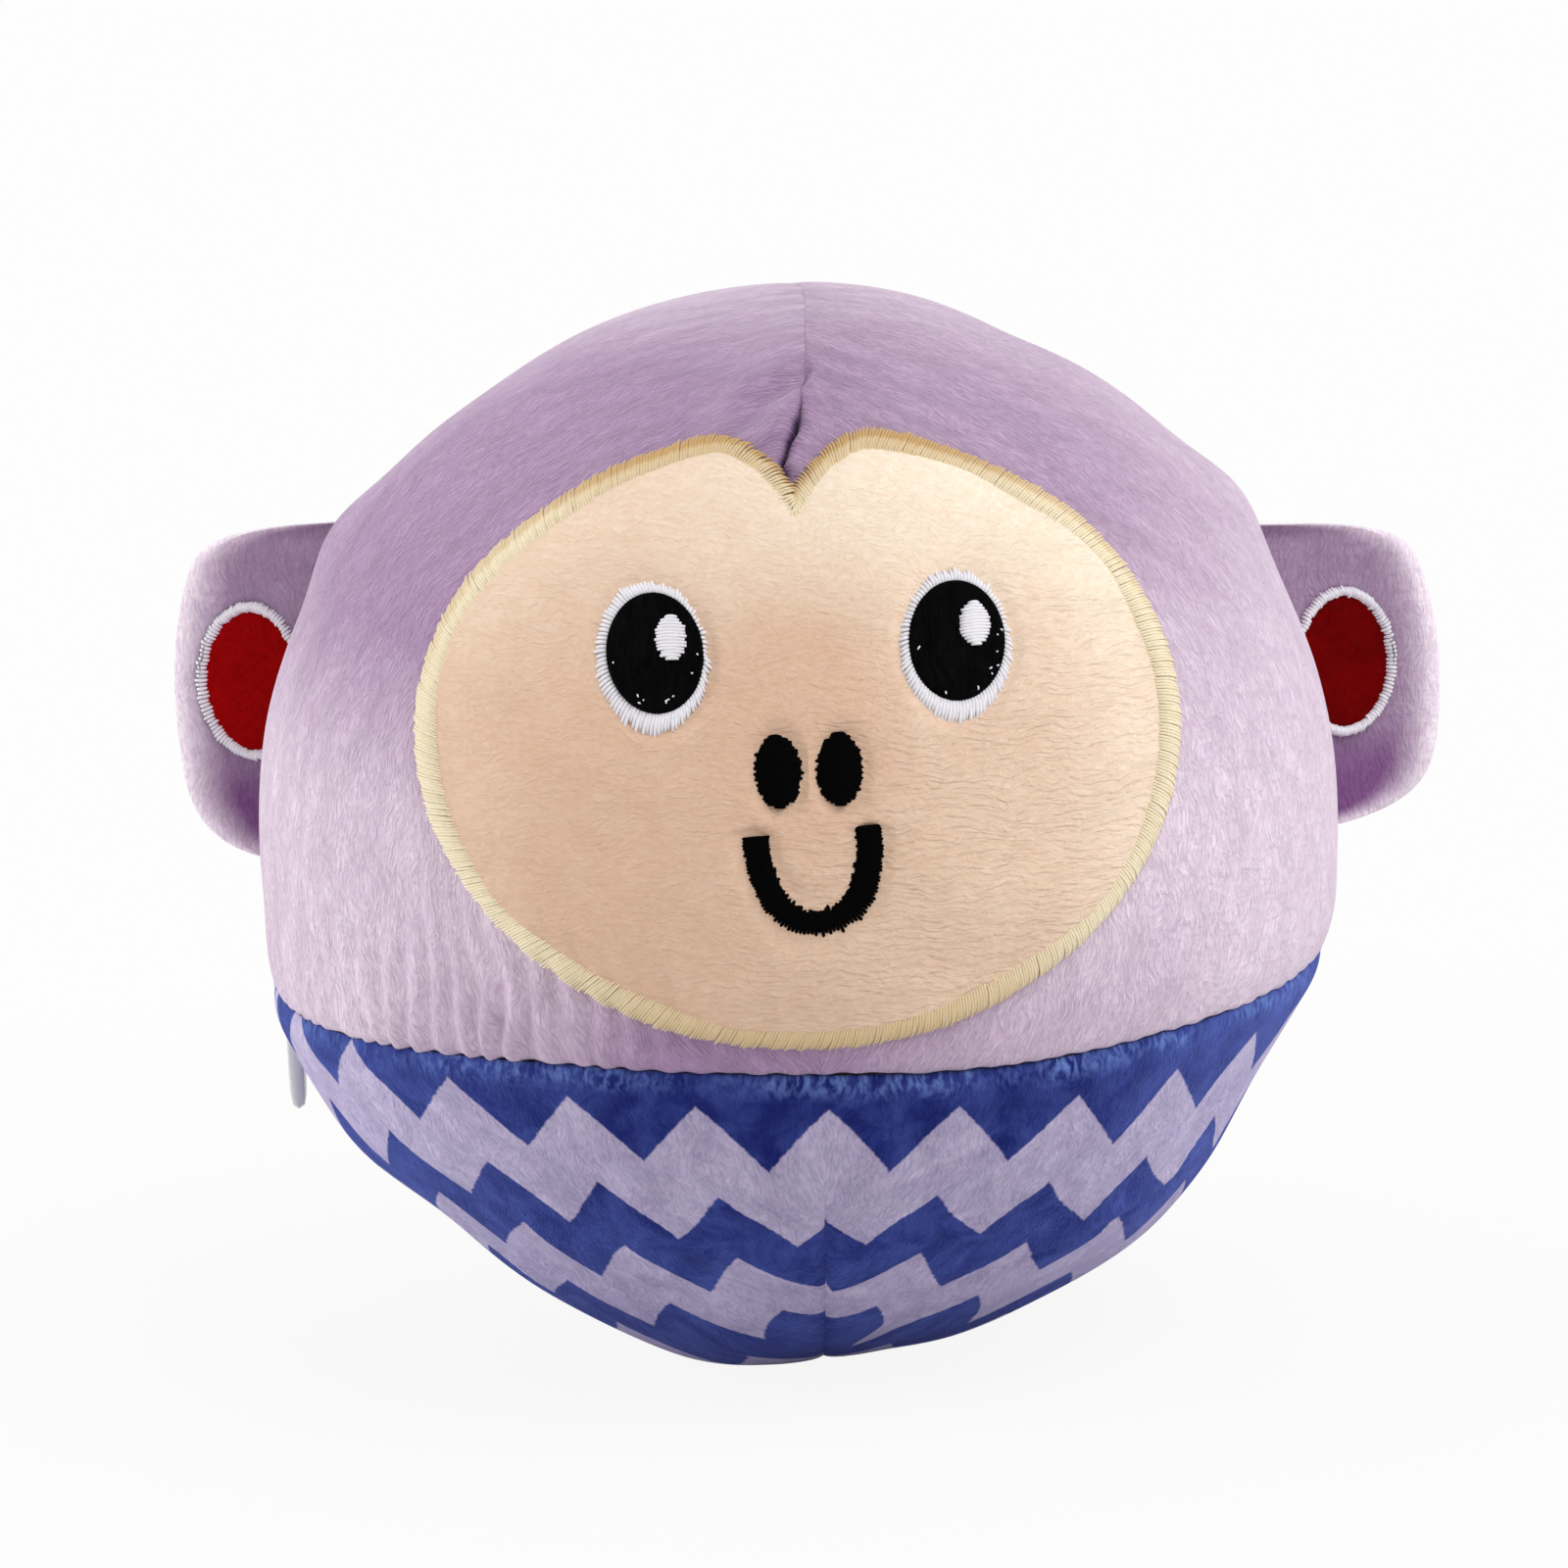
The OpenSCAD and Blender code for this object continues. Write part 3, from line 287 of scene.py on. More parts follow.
def moulded(name, colour, roughness, metallic, grain_mm):
    """Hard finish: fine grain of that size in the colour, roughness and relief, and clouds in the colour."""
    material, start = new_finish(name, Metallic=metallic)
    place = start.place()
    grain = place.stretched(grain_mm * MM).grain(3.0, 0.6)
    cloud = place.stretched(9 * MM).grain()
    (0.6 * grain + 0.4 * cloud).tint((*colour, 0.78), colour).feed("Base Color")
    (roughness - 0.1 + 0.2 * grain).feed("Roughness")
    grain.relief(0.03, 0.4)
    return material


def jacketed(name, colour, end_colour, length_mm, share):
    """Glossy printed jacket: along each cell, one share in the first colour and the rest in the second."""
    material, start = new_finish(name, Roughness=0.25, Coat_Weight=0.4)
    place = start.place().stretched(length_mm * MM)
    (place.part(0) + 0.5).above(share - 0.02, share).tint(colour, end_colour).feed("Base Color")
    place.stretched(0.05).grain().relief(0.02, 0.3)
    return material


def refinish(node, material):
    """Gives a solid its finish and hands the solid back."""
    solid = frame["nodes"][node]
    solid.data.materials.clear()
    solid.data.materials.append(material)
    return solid


# Hard finishes by slot: colour, roughness, metal share and grain in mm
hard_looks = {
    "core_plastic": ((232, 231, 226), 0.45, 0.0, 1.2),
    "steel": ((196, 197, 200), 0.3, 1.0, 0.4),
    "board_green": ((28, 96, 58), 0.35, 0.0, 0.7),
    "dark_plastic": ((44, 44, 48), 0.5, 0.0, 1.2),
    "cap_sleeve": ((34, 44, 98), 0.3, 0.0, 1.2),
    "resistor_body": ((198, 168, 128), 0.55, 0.0, 0.4),
    "gold_plate": ((214, 178, 96), 0.22, 1.0, 0.3),
    "knob_red": ((196, 40, 44), 0.4, 0.0, 1.2),
    "basket_steel": ((92, 94, 98), 0.4, 0.9, 0.6),
    "magnet_iron": ((70, 70, 74), 0.6, 0.0, 0.5),
    "coil_copper": ((184, 106, 60), 0.35, 0.9, 0.25),
    "lead_red": ((190, 34, 36), 0.45, 0.0, 0.5),
    "lead_black": ((36, 36, 38), 0.45, 0.0, 0.5),
    "lead_orange": ((222, 130, 46), 0.45, 0.0, 0.5),
}
cell_length = 44.5
jacket_share = 0.62
core_finishes = {slot: moulded(slot, *hard_look) for slot, hard_look in hard_looks.items()}
core_finishes["cell_jacket"] = jacketed("cell_jacket", (46, 44, 42), (196, 150, 62),
                                        cell_length, jacket_share)
for subpart in frame["record"]["subparts"]:
    if subpart["material_slot"] in core_finishes:
        refinish(subpart["node"], core_finishes[subpart["material_slot"]])


# Padding
# Loose polyester wadding in two halves around the core, teased out by hand until it fills the cover.
def bump(gap, width):
    """Bell curve of a distance: 1 at no distance, falling away over the width."""
    return np.exp(-(gap / width) ** 2)


def rise(value, start, stop):
    """Soft step: 0 before start, 1 after stop, eased between them."""
    share = np.clip((value - start) / (stop - start), 0, 1)
    return share * share * (3 - 2 * share)


def wool(points, size, seed):
    """Smooth random field from -1 to 1: random values at the corners of a lattice, eased between."""
    cell = points / size
    base = np.floor(cell).astype(np.int64)
    ease = cell - base
    ease = ease * ease * (3 - 2 * ease)
    total = np.zeros(points.shape[:-1])
    for step in np.ndindex(2, 2, 2):
        x, y, z = np.moveaxis(base + step, -1, 0)
        mixed = x * 73856093 ^ y * 19349663 ^ z * 83492791 ^ seed * 26544357
        mixed = (mixed ^ (mixed >> 13)) * 1274126177 & 0x7FFFFFFF
        value = (mixed ^ (mixed >> 15)) % 65536 / 32767.5 - 1
        total += value * np.prod(np.where(np.array(step, bool), ease, 1 - ease), axis=-1)
    return total


def build(name, points, faces, corner_uv=None, depth=None):
    """Mesh object of points in mm about the ball's middle, with a place in mm for each face corner in
    corner_uv and a number for each point in depth."""
    used, order = np.unique(np.concatenate([kind.ravel() for kind in faces]), return_inverse=True)
    runs = np.split(order, np.cumsum([kind.size for kind in faces])[:-1])
    loops = [run.reshape(kind.shape).tolist() for run, kind in zip(runs, faces)]
    mesh = bpy.data.meshes.new(name)
    mesh.from_pydata(((points.reshape(-1, 3)[used] + middle) * MM).tolist(), [], sum(loops, []))
    if corner_uv is not None:
        mesh.uv_layers.new(name="cloth").data.foreach_set("uv", corner_uv.ravel())
    if depth is not None:
        mesh.attributes.new("depth", "FLOAT", "POINT").data.foreach_set("value", depth.ravel()[used])
    mesh.shade_smooth()
    return stand(name, mesh)


def sew(name, points, uv=None, ring=False, loop=False, poles=(False, False), joins=(), depth=None):
    """Mesh of a grid of points, a face between each four neighbours. ring joins the last column to the
    first, loop the last row to the first; a pole row is one point; joins pairs up columns that coincide."""
    rows, columns = points.shape[:2]
    spots = np.arange(rows * columns).reshape(rows, columns)
    shared = spots.copy()
    for keep, drop in [*joins, *([(0, columns - 1)] if ring else [])]:
        shared[:, drop] = shared[:, keep]
    if loop:
        shared[-1] = shared[0]
    for row in np.flatnonzero(poles) * (rows - 1):
        shared[row] = shared[row, 0]
    cells = np.stack([spots[:-1, :-1], spots[:-1, 1:], spots[1:, 1:], spots[1:, :-1]], -1).reshape(-1, 4)
    faces = shared.ravel()[cells]
    low_point = faces[:, 0] == faces[:, 1]
    high_point = faces[:, 2] == faces[:, 3]
    kinds = [
        cells[~low_point & ~high_point],
        cells[low_point & ~high_point][:, [0, 2, 3]],
        cells[high_point & ~low_point][:, [0, 1, 2]],
    ]
    corner_uv = None
    if uv is not None:
        corner_uv = uv.reshape(-1, 2)[np.concatenate([kind.ravel() for kind in kinds])]
    return build(name, points, [shared.ravel()[kind] for kind in kinds], corner_uv, depth)


def dress(made, material, nodes, body="cover"):
    """Gives a piece its finish, hides the solids that it stands for and hangs it on the body that it moves with,
    if one is given.
    """
    made.data.materials.append(material)
    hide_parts(*nodes)
    if body:
        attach(made, body)


seam_drop = 16.0
seam_lat = -asin(seam_drop / ball_r)
seam_half = 0.01
fabric_t = 2.5
core_r = 45.6
core_foot = middle[2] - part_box("battery_door")[0].z / MM + 0.6
wadding_r = ball_r - fabric_t - 2.6
wadding_foot = middle[2] - fabric_t - 1.0
wadding_lumps = 0.8
channel_depth = 4.5
channel_half = 9.0
zip_bearing = radians(103)


def wadding_points(end_lat, side):
    """Half of the filling about the upright axis: along the lumpy outer dome from its pole to the seam, then
    back along the smooth dome around the core, with the zip's channel pressed into the back."""
    lon = np.linspace(-pi, pi, 181)
    lat = np.linspace(side * pi / 2, end_lat, 60)[:, None]
    out = toward(lon, lat)
    lumps = wadding_lumps * (wool(out * wadding_r, 9.0, 3) + 0.5 * wool(out * wadding_r, 3.5, 4))
    seam_gap = np.abs(lat - seam_lat) * ball_r
    along_zip = rise(np.abs(lon), zip_bearing - 0.12, zip_bearing)
    channel = along_zip * (1 - rise(seam_gap, channel_half - 2, channel_half))
    downward = np.maximum(-np.sin(lat), 0.01)
    outer = np.minimum(wadding_r, wadding_foot / downward) + lumps - channel_depth * channel
    inner = np.minimum(core_r, core_foot / downward) + 0 * lon
    points = np.concatenate([out * outer[..., None], (out * inner[..., None])[::-1]])
    return points[:, ::-1] if side > 0 else points


wadding_finish, start = new_finish("wadding", Roughness=1.0, Sheen_Weight=0.4)
place = start.place()
fibres = place.swayed(0.006, 0.004).stretched(0.0006, 0.0025, 0.0015).grain(4.0, 0.65)
fibres.tint((206, 202, 194), (247, 245, 240)).feed("Base Color")
fibres.relief(0.4, 0.7)
for half, side in (("upper", 1), ("lower", -1)):
    filling = wadding_points(seam_lat + side * seam_half, side)
    wadding = sew(f"wadding_{half}", filling, ring=True, poles=(True, True))
    dress(wadding, wadding_finish, [f"padding_{half}"])

# Lower cover
# A bowl of printed velour, cut flat and closed with four darts that run down to the flat it stands on.
# Its top edge is turned in and sewn to the plush all round the waist.
slack = 1.1
lump = 0.22
foot_round = 0.8
# Swells and hollows of the filling, seen from the front: degrees up from the right side, mm, degrees
settling = [
    (-30, -2.2, 11), (-44, -0.5, 8), (-66, -0.9, 11), (-84, -0.7, 8), (58, -0.5, 15),
    (65, -0.7, 7), (122, -0.5, 15), (123, -0.5, 8), (199, 1.6, 7), (211, 1.1, 8),
    (227, -1.7, 11), (241, -0.6, 7), (259, 1.1, 7),
]


def wrapped(angle):
    """An angle brought within half a turn of zero."""
    return np.angle(np.exp(1j * angle))


def pair(first, second):
    """Flat places from their two numbers."""
    return np.stack([first, second], -1)


def foot_r(way):
    """Distance from the ball's middle to the floor along unit directions, far where they don't go down."""
    return middle[2] / np.maximum(-way[..., 2], 0.05)


def stuffed(way):
    """Radius of the filled ball along unit directions: a ball with swells and hollows round its outline,
    soft lumps, and a flat foot that takes over where it is nearer, eased into the ball."""
    x, _, z = np.moveaxis(way, -1, 0)
    outline = np.clip((np.hypot(x, z) - 0.3) / 0.7, 0, 1) ** 2
    radius = ball_r - slack + lump * (wool(way * ball_r, 17.0, 1) + 0.5 * wool(way * ball_r, 8.0, 2))
    for at, height, spread in settling:
        turn = wrapped(np.arctan2(z, x) - radians(at))
        radius = radius + height * outline * bump(turn, radians(spread))
    return -foot_round * np.logaddexp(-radius / foot_round, -foot_r(way) / foot_round)


def spaced(start, stop, count, crowd):
    """Places from start to stop, closer where crowd is larger: the running sum of crowd, read backwards."""
    fine = np.linspace(start, stop, 3000)
    run = np.concatenate([[0], np.cumsum(crowd((fine[1:] + fine[:-1]) / 2))])
    return np.interp(np.linspace(0, run[-1], count), run, fine)


zip_half = 4.2
zip_end_ease = radians(4)
sag = 0.9
sag_front = 2.4
sag_lon = radians(20)
sag_spread = radians(34)
sewn_lon = radians(60)


def waist_lat(lon, side):
    """Latitude of a cover's edge, above (1) or below (-1) the waist seam: the seam sags a little below the
    face, and along the zip the edges stand half its opening away."""
    turn = wrapped(lon)
    opened = zip_half * rise(np.abs(turn), zip_bearing - zip_end_ease, zip_bearing)
    sewn = 1 - rise(np.abs(turn), sewn_lon, zip_bearing - zip_end_ease)
    return seam_lat + (side * opened - sewn * (sag + sag_front * bump(turn - sag_lon, sag_spread))) / ball_r


dart_top = radians(32)
dart_depth = 0.8
tuck_depth = 0.8
tuck_lon = radians(14)
tuck_spread = radians(30)
fold_from = radians(16)
fold_to = radians(66)
fold_lat = radians(-50)
fold_depth = 0.9
gores = 4


def tucked(lon):
    """How deep the covers' edges turn in at the waist: deepest in front below the face."""
    return tuck_depth * (0.7 + 0.7 * bump(wrapped(lon) - tuck_lon, tuck_spread))


def bowl_radius(lon, lat):
    """Radius of the lower cover: the filled ball, turned in at its top edge, drawn in along the darts and
    creased where the filling sags right of the front dart, and nowhere below the floor."""
    way = toward(lon, lat)
    gap = (waist_lat(lon, -1) - lat) * ball_r
    pucker = 1 + 0.35 * wool(way * ball_r, 2.6, 11)
    turned_in = tucked(lon) * np.exp(-np.maximum(gap, 0) / 0.6) * pucker
    radius = stuffed(way) - turned_in + 0.3 * bump(gap - 3.0, 2.4)
    from_dart = np.abs(wrapped(gores * lon)) / gores * ball_r * np.cos(lat)
    dart = rise(-lat, dart_top - 0.02, dart_top + 0.16) * (1 - 0.5 * rise(-lat, 0.9, 1.3))
    radius = radius - dart * (dart_depth * np.exp(-from_dart / 0.8) - 0.2 * bump(from_dart - 4.0, 3.0))
    from_fold = (lat - fold_lat - 0.3 * (lon - fold_from)) * ball_r
    fold = rise(lon, fold_from, fold_from + 0.2) * (1 - rise(lon, fold_to - 0.35, fold_to))
    radius = radius - fold * (fold_depth * bump(from_fold, 0.9) - 0.5 * bump(from_fold - 2.6, 2.0))
    return np.minimum(radius, foot_r(way))


gore_columns = 111
bowl_rows = 101
print_lat = radians(33)
print_ease = radians(2.8)
print_ease_lon = radians(70)
print_ease_spread = radians(28)
print_lift = 4.0
lift_from = radians(30)
lift_to = radians(75)
dart_taken = 2.2
dart_shown = 2.0
dart_drop = 2.4
dart_pull = 2.4
foot_stretch = 5.0
cloth_r = ball_r - slack
print_r = cloth_r * cos(print_lat)


def bowl_grid():
    """Bowl as gores from dart to dart, from the bottom pole up to the waist: its points, places on the cloth
    and distances below the waist. The places run flat across each gore below the darts' tops, with a little
    taken up in the darts, and around the ball above; they are eased outwards and lifted at the sides, and
    pulled up or down beside the front dart."""
    share = spaced(-1, 1, gore_columns, lambda at: 1 + 1.6 * bump(1 - np.abs(at), 0.08))
    centre = np.repeat(pi / gores * (2 * np.arange(gores) - gores + 1), gore_columns)
    lon = centre + pi / gores * np.tile(share, gores)
    depth = spaced(0, 1, bowl_rows, lambda at: 1 + 2.2 * bump(1 - at, 0.06))[:, None]
    lat = -pi / 2 + (waist_lat(lon, -1) + pi / 2) * depth
    lon = np.broadcast_to(lon, lat.shape)
    points = toward(lon, lat) * bowl_radius(lon, lat)[..., None]
    turn = wrapped(lon)
    eased = lon - print_ease * np.sign(turn) * bump(np.abs(turn) - print_ease_lon, print_ease_spread)
    taken = dart_taken * rise(-lat, dart_top - 0.1, dart_top + 0.03) * (1 - 0.6 * rise(-lat, 0.6, 0.75))
    shown = dart_shown * (rise(-lat, 0.60, 0.72) + 0.6 * rise(-lat, 0.80, 0.92))
    across = (eased - centre) * (cloth_r * np.minimum(np.cos(lat), cos(print_lat)) - taken)
    across = across - np.sign(centre) * shown
    from_dart = np.abs(turn) * ball_r * np.cos(lat)
    dropped = dart_drop * np.exp(-from_dart / 12) * bump(lat + dart_top, 0.11)
    dropped = dropped + foot_stretch * rise(-lat, 0.96, 1.12) * bump(turn, 0.8)
    pulled = dart_pull * np.exp(-from_dart / 9) * bump(lat + 0.93, 0.1)
    lifted = print_lift * rise(np.abs(turn), lift_from, lift_to) + pulled - dropped
    below_waist = (waist_lat(lon, -1) - lat) * ball_r
    return points, pair(centre * print_r + across, lat * cloth_r - lifted), below_waist


def pile_cloth(name, stroke, dark, height_mm, shade_of, folds_of=None, **fixed):
    """Pile fabric: short twisting strokes, swayed about, darken and lighten the colour and raise the surface;
    the darker colour between the tufts is in part painted shade in the pile. shade_of gives the colour,
    with any painted light and shade, from the places on the cloth and the object, folds_of the height of
    larger folds, and dark what the shade is multiplied by between the tufts."""
    material, start = new_finish(name, Roughness=0.95, Specular_IOR_Level=0.03, **fixed)
    cloth = start.cloth()
    place = start.place()
    fine = cloth.swayed(7.0, 4.0).stretched(*stroke, 1).grain(2.0, 0.55, twist=0.7)
    tufts = cloth.swayed(9.0, 5.0).stretched(4 * stroke[0], 3 * stroke[1], 1).grain()
    pile = 0.75 * fine + 0.25 * tufts
    shade = shade_of(cloth, place)
    # Darker between the tufts and paler on them: partly painted shade and light in the pile.
    pale = [1 + 0.7 * (1 - part) for part in dark]
    pile.above(0.3, 0.7).tint(shade.dyed(dark), shade.dyed(pale)).feed("Base Color")
    (pile + folds_of(cloth, place) if folds_of else pile).relief(height_mm, 0.8)
    return material


zigzags = 26
zigzag_shift = 0.07
row_first = 21.7
row_pitch = 22.6
row_zig = 8.0
row_tilt = 3.3
row_soft = 0.022
ground_share = 0.55


def zigzag_rows(cloth, place):
    """Zigzag print: each row's edges follow a triangle wave around the bowl, so the share of a row pitch
    below the first edge tells ground from ink. The rows sink a little to the right, the pile is brushed
    lighter in places, painted light makes both colours paler at the sides and the ink paler far below the
    waist, and pale tips stand out along the waist."""
    frayed = cloth.swayed(0.8, 0.4)
    around = frayed.part(0)
    wave = 2 * (around * (zigzags / (2 * pi * print_r)) + 0.5 - zigzag_shift).math("PINGPONG", 0.5)
    sink = row_tilt * (around * (1 / print_r)).math("SINE")
    row = (0 - frayed.part(1) - row_first - sink - row_zig * (1 - wave)) * (1 / row_pitch)
    share = row.math("FRACT")
    ground = share.above(0.0, row_soft) * (1 - share.above(ground_share - row_soft, ground_share))
    ground = ground * row.above(-0.01, 0.0)
    below_waist = cloth.depth()
    tips = cloth.swayed(3.0, 1.5).stretched(0.6, 1.3, 1).grain(2.0).above(0.36, 0.68)
    patchy = 0.25 + cloth.stretched(9.0, 40.0, 1).grain(1.0).above(0.35, 0.62)
    frost = 0.65 * patchy * tips * (1 - below_waist.above(0.5, 3.4))
    brushed = cloth.swayed(9.0, 5.0).stretched(5.0, 9.0, 1).grain(3.0, 0.6).above(0.3, 0.72)
    # Painted light: both colours paler towards the sides, more on the right, and the ink paler far below the
    # waist.
    aside = place.mm(0).above(22, 56) + 0.6 * place.mm(0, -1).above(22, 56)
    ink = 0.5 * brushed + 0.6 * aside + 0.2 * below_waist.above(12, 28)
    ink = frost.tint(ink.tint((29, 38, 108), (78, 94, 174)), (112, 138, 206))
    return ground.tint(ink, (0.6 * brushed + 0.5 * aside).tint((176, 165, 196), (209, 198, 227)))


cover_wall = 1.4


def cover_piece(made, material, nodes):
    """Dresses a stuffed part of the cover and gives it the cloth's thickness inwards."""
    dress(made, material, nodes)
    wall = made.modifiers.new("wall", "SOLIDIFY")
    wall.thickness = cover_wall * MM
    wall.offset = -1


bowl_points, bowl_cloth, below_waist = bowl_grid()
dart_joins = [(gore * gore_columns - 1, gore * gore_columns) for gore in range(1, gores)]
lower = sew("printed_bowl", bowl_points, bowl_cloth, ring=True, poles=(True, False), joins=dart_joins,
            depth=below_waist)
velour = pile_cloth("zigzag_velour", (0.3, 1.0), (0.80, 0.80, 0.86), 0.6, zigzag_rows,
                    Sheen_Weight=0.25, Sheen_Roughness=0.35, Sheen_Tint=srgb(170, 180, 245))
cover_piece(lower, velour, ["lower_cover"])

# Upper cover
# Two halves of short-pile plush, sewn together over the crown from the face's notch to the zip. The seam
# is drawn in, pinched deep above the notch, and the lower edges are gathered and turned in at the waist.
halves = {"left": -1, "right": 1}
pinch_depth = 1.7
pinch_w = 0.46
seam_depth = 0.1
stitch_pitch = 4.2
# The crown seam's sideways wander in front: height over the ball's middle and shift, both in mm
seam_heights = [42.0, 44.0, 45.8, 48.2, 50.0, 51.6, 53.2, 54.6, 58.0, 62.0, 64.0]
seam_shifts = [0.0, 0.0, -0.7, -1.15, -0.5, 0.0, 0.9, 1.4, 2.2, 2.6, 2.8]
valley_top = np.array([0.8, 58.3])
valley_run = np.array([-0.728, -0.686])
ear_swell = 1.6
ear_top_lon = radians(88)
ear_top_lat = radians(35)
gather_lon = radians(-39)
gather_spread = radians(22)
gather_pitch = 3.7
gather_depth = 0.7
ripple_depth = 0.12
pucker_pitch = 3.4
pucker_depth = 0.16


def head_radius(way):
    """Radius of the upper cover without its turned-in edges: the filled ball with a roll above the waist,
    gathers at the left below the face, puckers off the crown seam and a slanting valley beside it."""
    lon = np.arctan2(way[..., 0], -way[..., 1])
    lat = np.arcsin(np.clip(way[..., 2], -1, 1))
    gap = (lat - waist_lat(lon, 1)) * ball_r
    radius = stuffed(way) + 0.3 * bump(gap - 5, 4)
    for side in halves.values():
        ear_top = toward(side * ear_top_lon, ear_top_lat)
        radius = radius + ear_swell * bump(np.arccos(np.clip(way @ ear_top, -1, 1)) * ball_r, 7)
    drift = 1.2 * wool(way * ball_r, 9.0, 21)
    ridge = np.sin(2 * pi * (lon * ball_r + 2.0 * drift) / gather_pitch)
    drawn = bump(lon - gather_lon, gather_spread) * bump(gap - 6, 8)
    gathers = drawn * (0.8 + 0.5 * wool(way * ball_r, 7.0, 22))
    radius = radius + (gather_depth * gathers + ripple_depth * np.exp(-np.maximum(gap, 0) / 4)) * ridge
    x, _, z = np.moveaxis(way * ball_r, -1, 0)
    above = rise(z, 42, 46) * (1 - rise(z, 56, 61))
    front = rise(-way[..., 1], 0, 0.2)
    off_seam = np.abs(x)
    pucker = np.sin(2 * pi * (z + 0.5 * off_seam + drift) / pucker_pitch)
    from_top = pair(x, z) - valley_top
    along = from_top @ valley_run
    aside = from_top @ np.array([valley_run[1], -valley_run[0]]) + 0.5 * drift
    valley = front * rise(along, -1, 2) * (1 - rise(along, 6, 12))
    valley = valley * (0.9 * bump(aside + 2.4, 1.5) - 1.2 * bump(aside, 1.2) + 0.4 * bump(aside - 2.4, 1.5))
    return radius + valley + pucker_depth * above * front * bump(off_seam - 3, 3.5) * pucker


def crown_crease(way):
    """Depth of the crown seam: a fine groove dimpled at the stitches, and a deep pinch over the notch."""
    x, y, z = np.moveaxis(way * ball_r, -1, 0)
    side = np.abs(x)
    along = np.arctan2(z, -y) * ball_r
    stitches = 1 + 0.45 * np.sin(2 * pi * along / stitch_pitch) + 0.6 * wool(way * ball_r, 2.4, 31)
    front = rise(-y, 0, 10)
    pinch = front * rise(z, 43.0, 46.0) * (1 - rise(z, 51.5, 55.5)) * (1 + 0.6 * wool(way * ball_r, 1.6, 32))
    dimple = 0.5 * front * bump(z - 56.2, 1.6) * np.exp(-side / 1.6)
    sewn = 1 - front * (1 - rise(z, 40, 43))
    groove = seam_depth * np.exp(-side / 0.5) * stitches + dimple
    swell = 0.5 * pinch * bump(side - 1.8, 1.3)
    pinched = pinch_depth * pinch * np.exp(-side / pinch_w)
    return sewn * (groove + pinched - swell + 0.2 * np.exp(-side / 4.0))


def seam_wander(way):
    """Sideways shift of the crown seam: crooked above the notch, straight behind, and dying away aside."""
    x, y, z = np.moveaxis(way * ball_r, -1, 0)
    jitter = 0.6 * wool(np.stack([0 * x, 0 * x, z], -1), 1.1, 33) * rise(z, 44, 46) * (1 - rise(z, 54, 58))
    return (np.interp(z, seam_heights, seam_shifts) + jitter) * rise(-y, -22, 6) * np.exp(-np.abs(x) / 9)


head_columns = 330
head_rows = 148
front_gathers = radians(42)


def head_grid(side):
    """Half of the upper cover from the crown seam round to the back, from the waist edge up to the pole: its
    points, places on the cloth and depths in the seam."""
    lon = side * spaced(0, pi, head_columns, lambda turn: 1 + 3 * bump(turn, 0.07)
                        + 2 * bump(turn - front_gathers, 0.4) + 1.5 * bump(pi - turn, 0.05))
    share = spaced(0, 1, head_rows, lambda at: 1 + 4 * bump(at, 0.04) + 2.4 * bump(at - 0.63, 0.12))[:, None]
    edge = waist_lat(lon, 1)
    lat = edge + (pi / 2 - edge) * share
    lon = np.broadcast_to(lon, lat.shape)
    way = toward(lon, lat)
    gap = (lat - edge) * ball_r
    tuck = tucked(lon) * np.exp(-gap / 0.7) * (1 + 0.35 * wool(way * ball_r, 2.6, 12))
    crease = crown_crease(way)
    points = way * (head_radius(way) - crease - tuck)[..., None]
    points[..., 0] += seam_wander(way)
    uv = pair((lon - side * pi / 2) * cloth_r * np.cos(lat), lat * cloth_r)
    flip = slice(None, None, side)
    return points[:, flip], uv[:, flip], crease[:, flip]


def plush_shade(cloth, place):
    """Lavender plush: darker over the brow, where the nap lies down and painted shade falls, deeper on the
    left; painted shade below the face and on the lower left cheek, and deepest in the creases of the seam;
    painted light leaves the sides paler; a plain mid tone behind."""
    height = place.mm(2) - middle[2]
    forward = place.mm(1, -1)
    aside = place.mm(0)
    brow = height.above(8, 42) * (1 - 0.25 * height.above(56, 64)) * forward.above(-30, 38)
    brow = brow * (0.88 + 0.12 * aside.math("ABSOLUTE").above(8, 36))
    behind = 0.45 * (1 - forward.above(-40, -8))
    # Painted shade under the face, strongest just left of its middle.
    painted_shade_under_face = (1 - height.above(-15, 1)) * forward.above(36, 53) * (1 - 0.7 * aside.above(-10, 30))
    painted_shade_under_face = painted_shade_under_face * (0.4 + 0.6 * aside.above(-34, -12))
    cheek = aside.above(-60, -46) * (1 - aside.above(-44, -30)) * forward.above(5, 25)
    cheek = cheek * (1 - height.above(14, 30)) * height.above(-12, 2)
    cloud = place.swayed(0.01, 0.006).stretched(0.014).grain()
    # The brow's nap with painted shade that is deeper on the left, painted shade under the face and on the lower
    # left cheek, and a plain mid tone behind.
    nap_and_painted_shade = (0.92 - 0.008 * aside) * brow + 0.9 * painted_shade_under_face + 0.12 * cheek + behind + 0.3 * cloud
    nap = nap_and_painted_shade.tint((243, 226, 240), (179, 148, 183))
    # Painted shade in the creases of the seam, from the depth the mesh keeps.
    return cloth.depth().above(0.35, 1.5).tint(nap, (92, 52, 106))


def plush_folds(cloth, place):
    """Level ripples of the nap on the right cheek."""
    rows = cloth.swayed(5.0, 2.5).stretched(5.0, 0.9, 1).grain(1.0) - 0.5
    return 0.5 * rows * place.mm(0).above(30, 46)


plush = pile_cloth("lavender_plush", (0.3, 1.2), (0.86, 0.80, 0.87), 0.85, plush_shade, plush_folds,
                   Sheen_Weight=0.45, Sheen_Roughness=0.3, Sheen_Tint=srgb(250, 240, 252))
for half, side in halves.items():
    head_points, head_cloth, head_depth = head_grid(side)
    head = sew(f"plush_head_{half}", head_points, head_cloth, poles=(False, True), depth=head_depth)
    cover_piece(head, plush, [f"head_panel_{half}"])

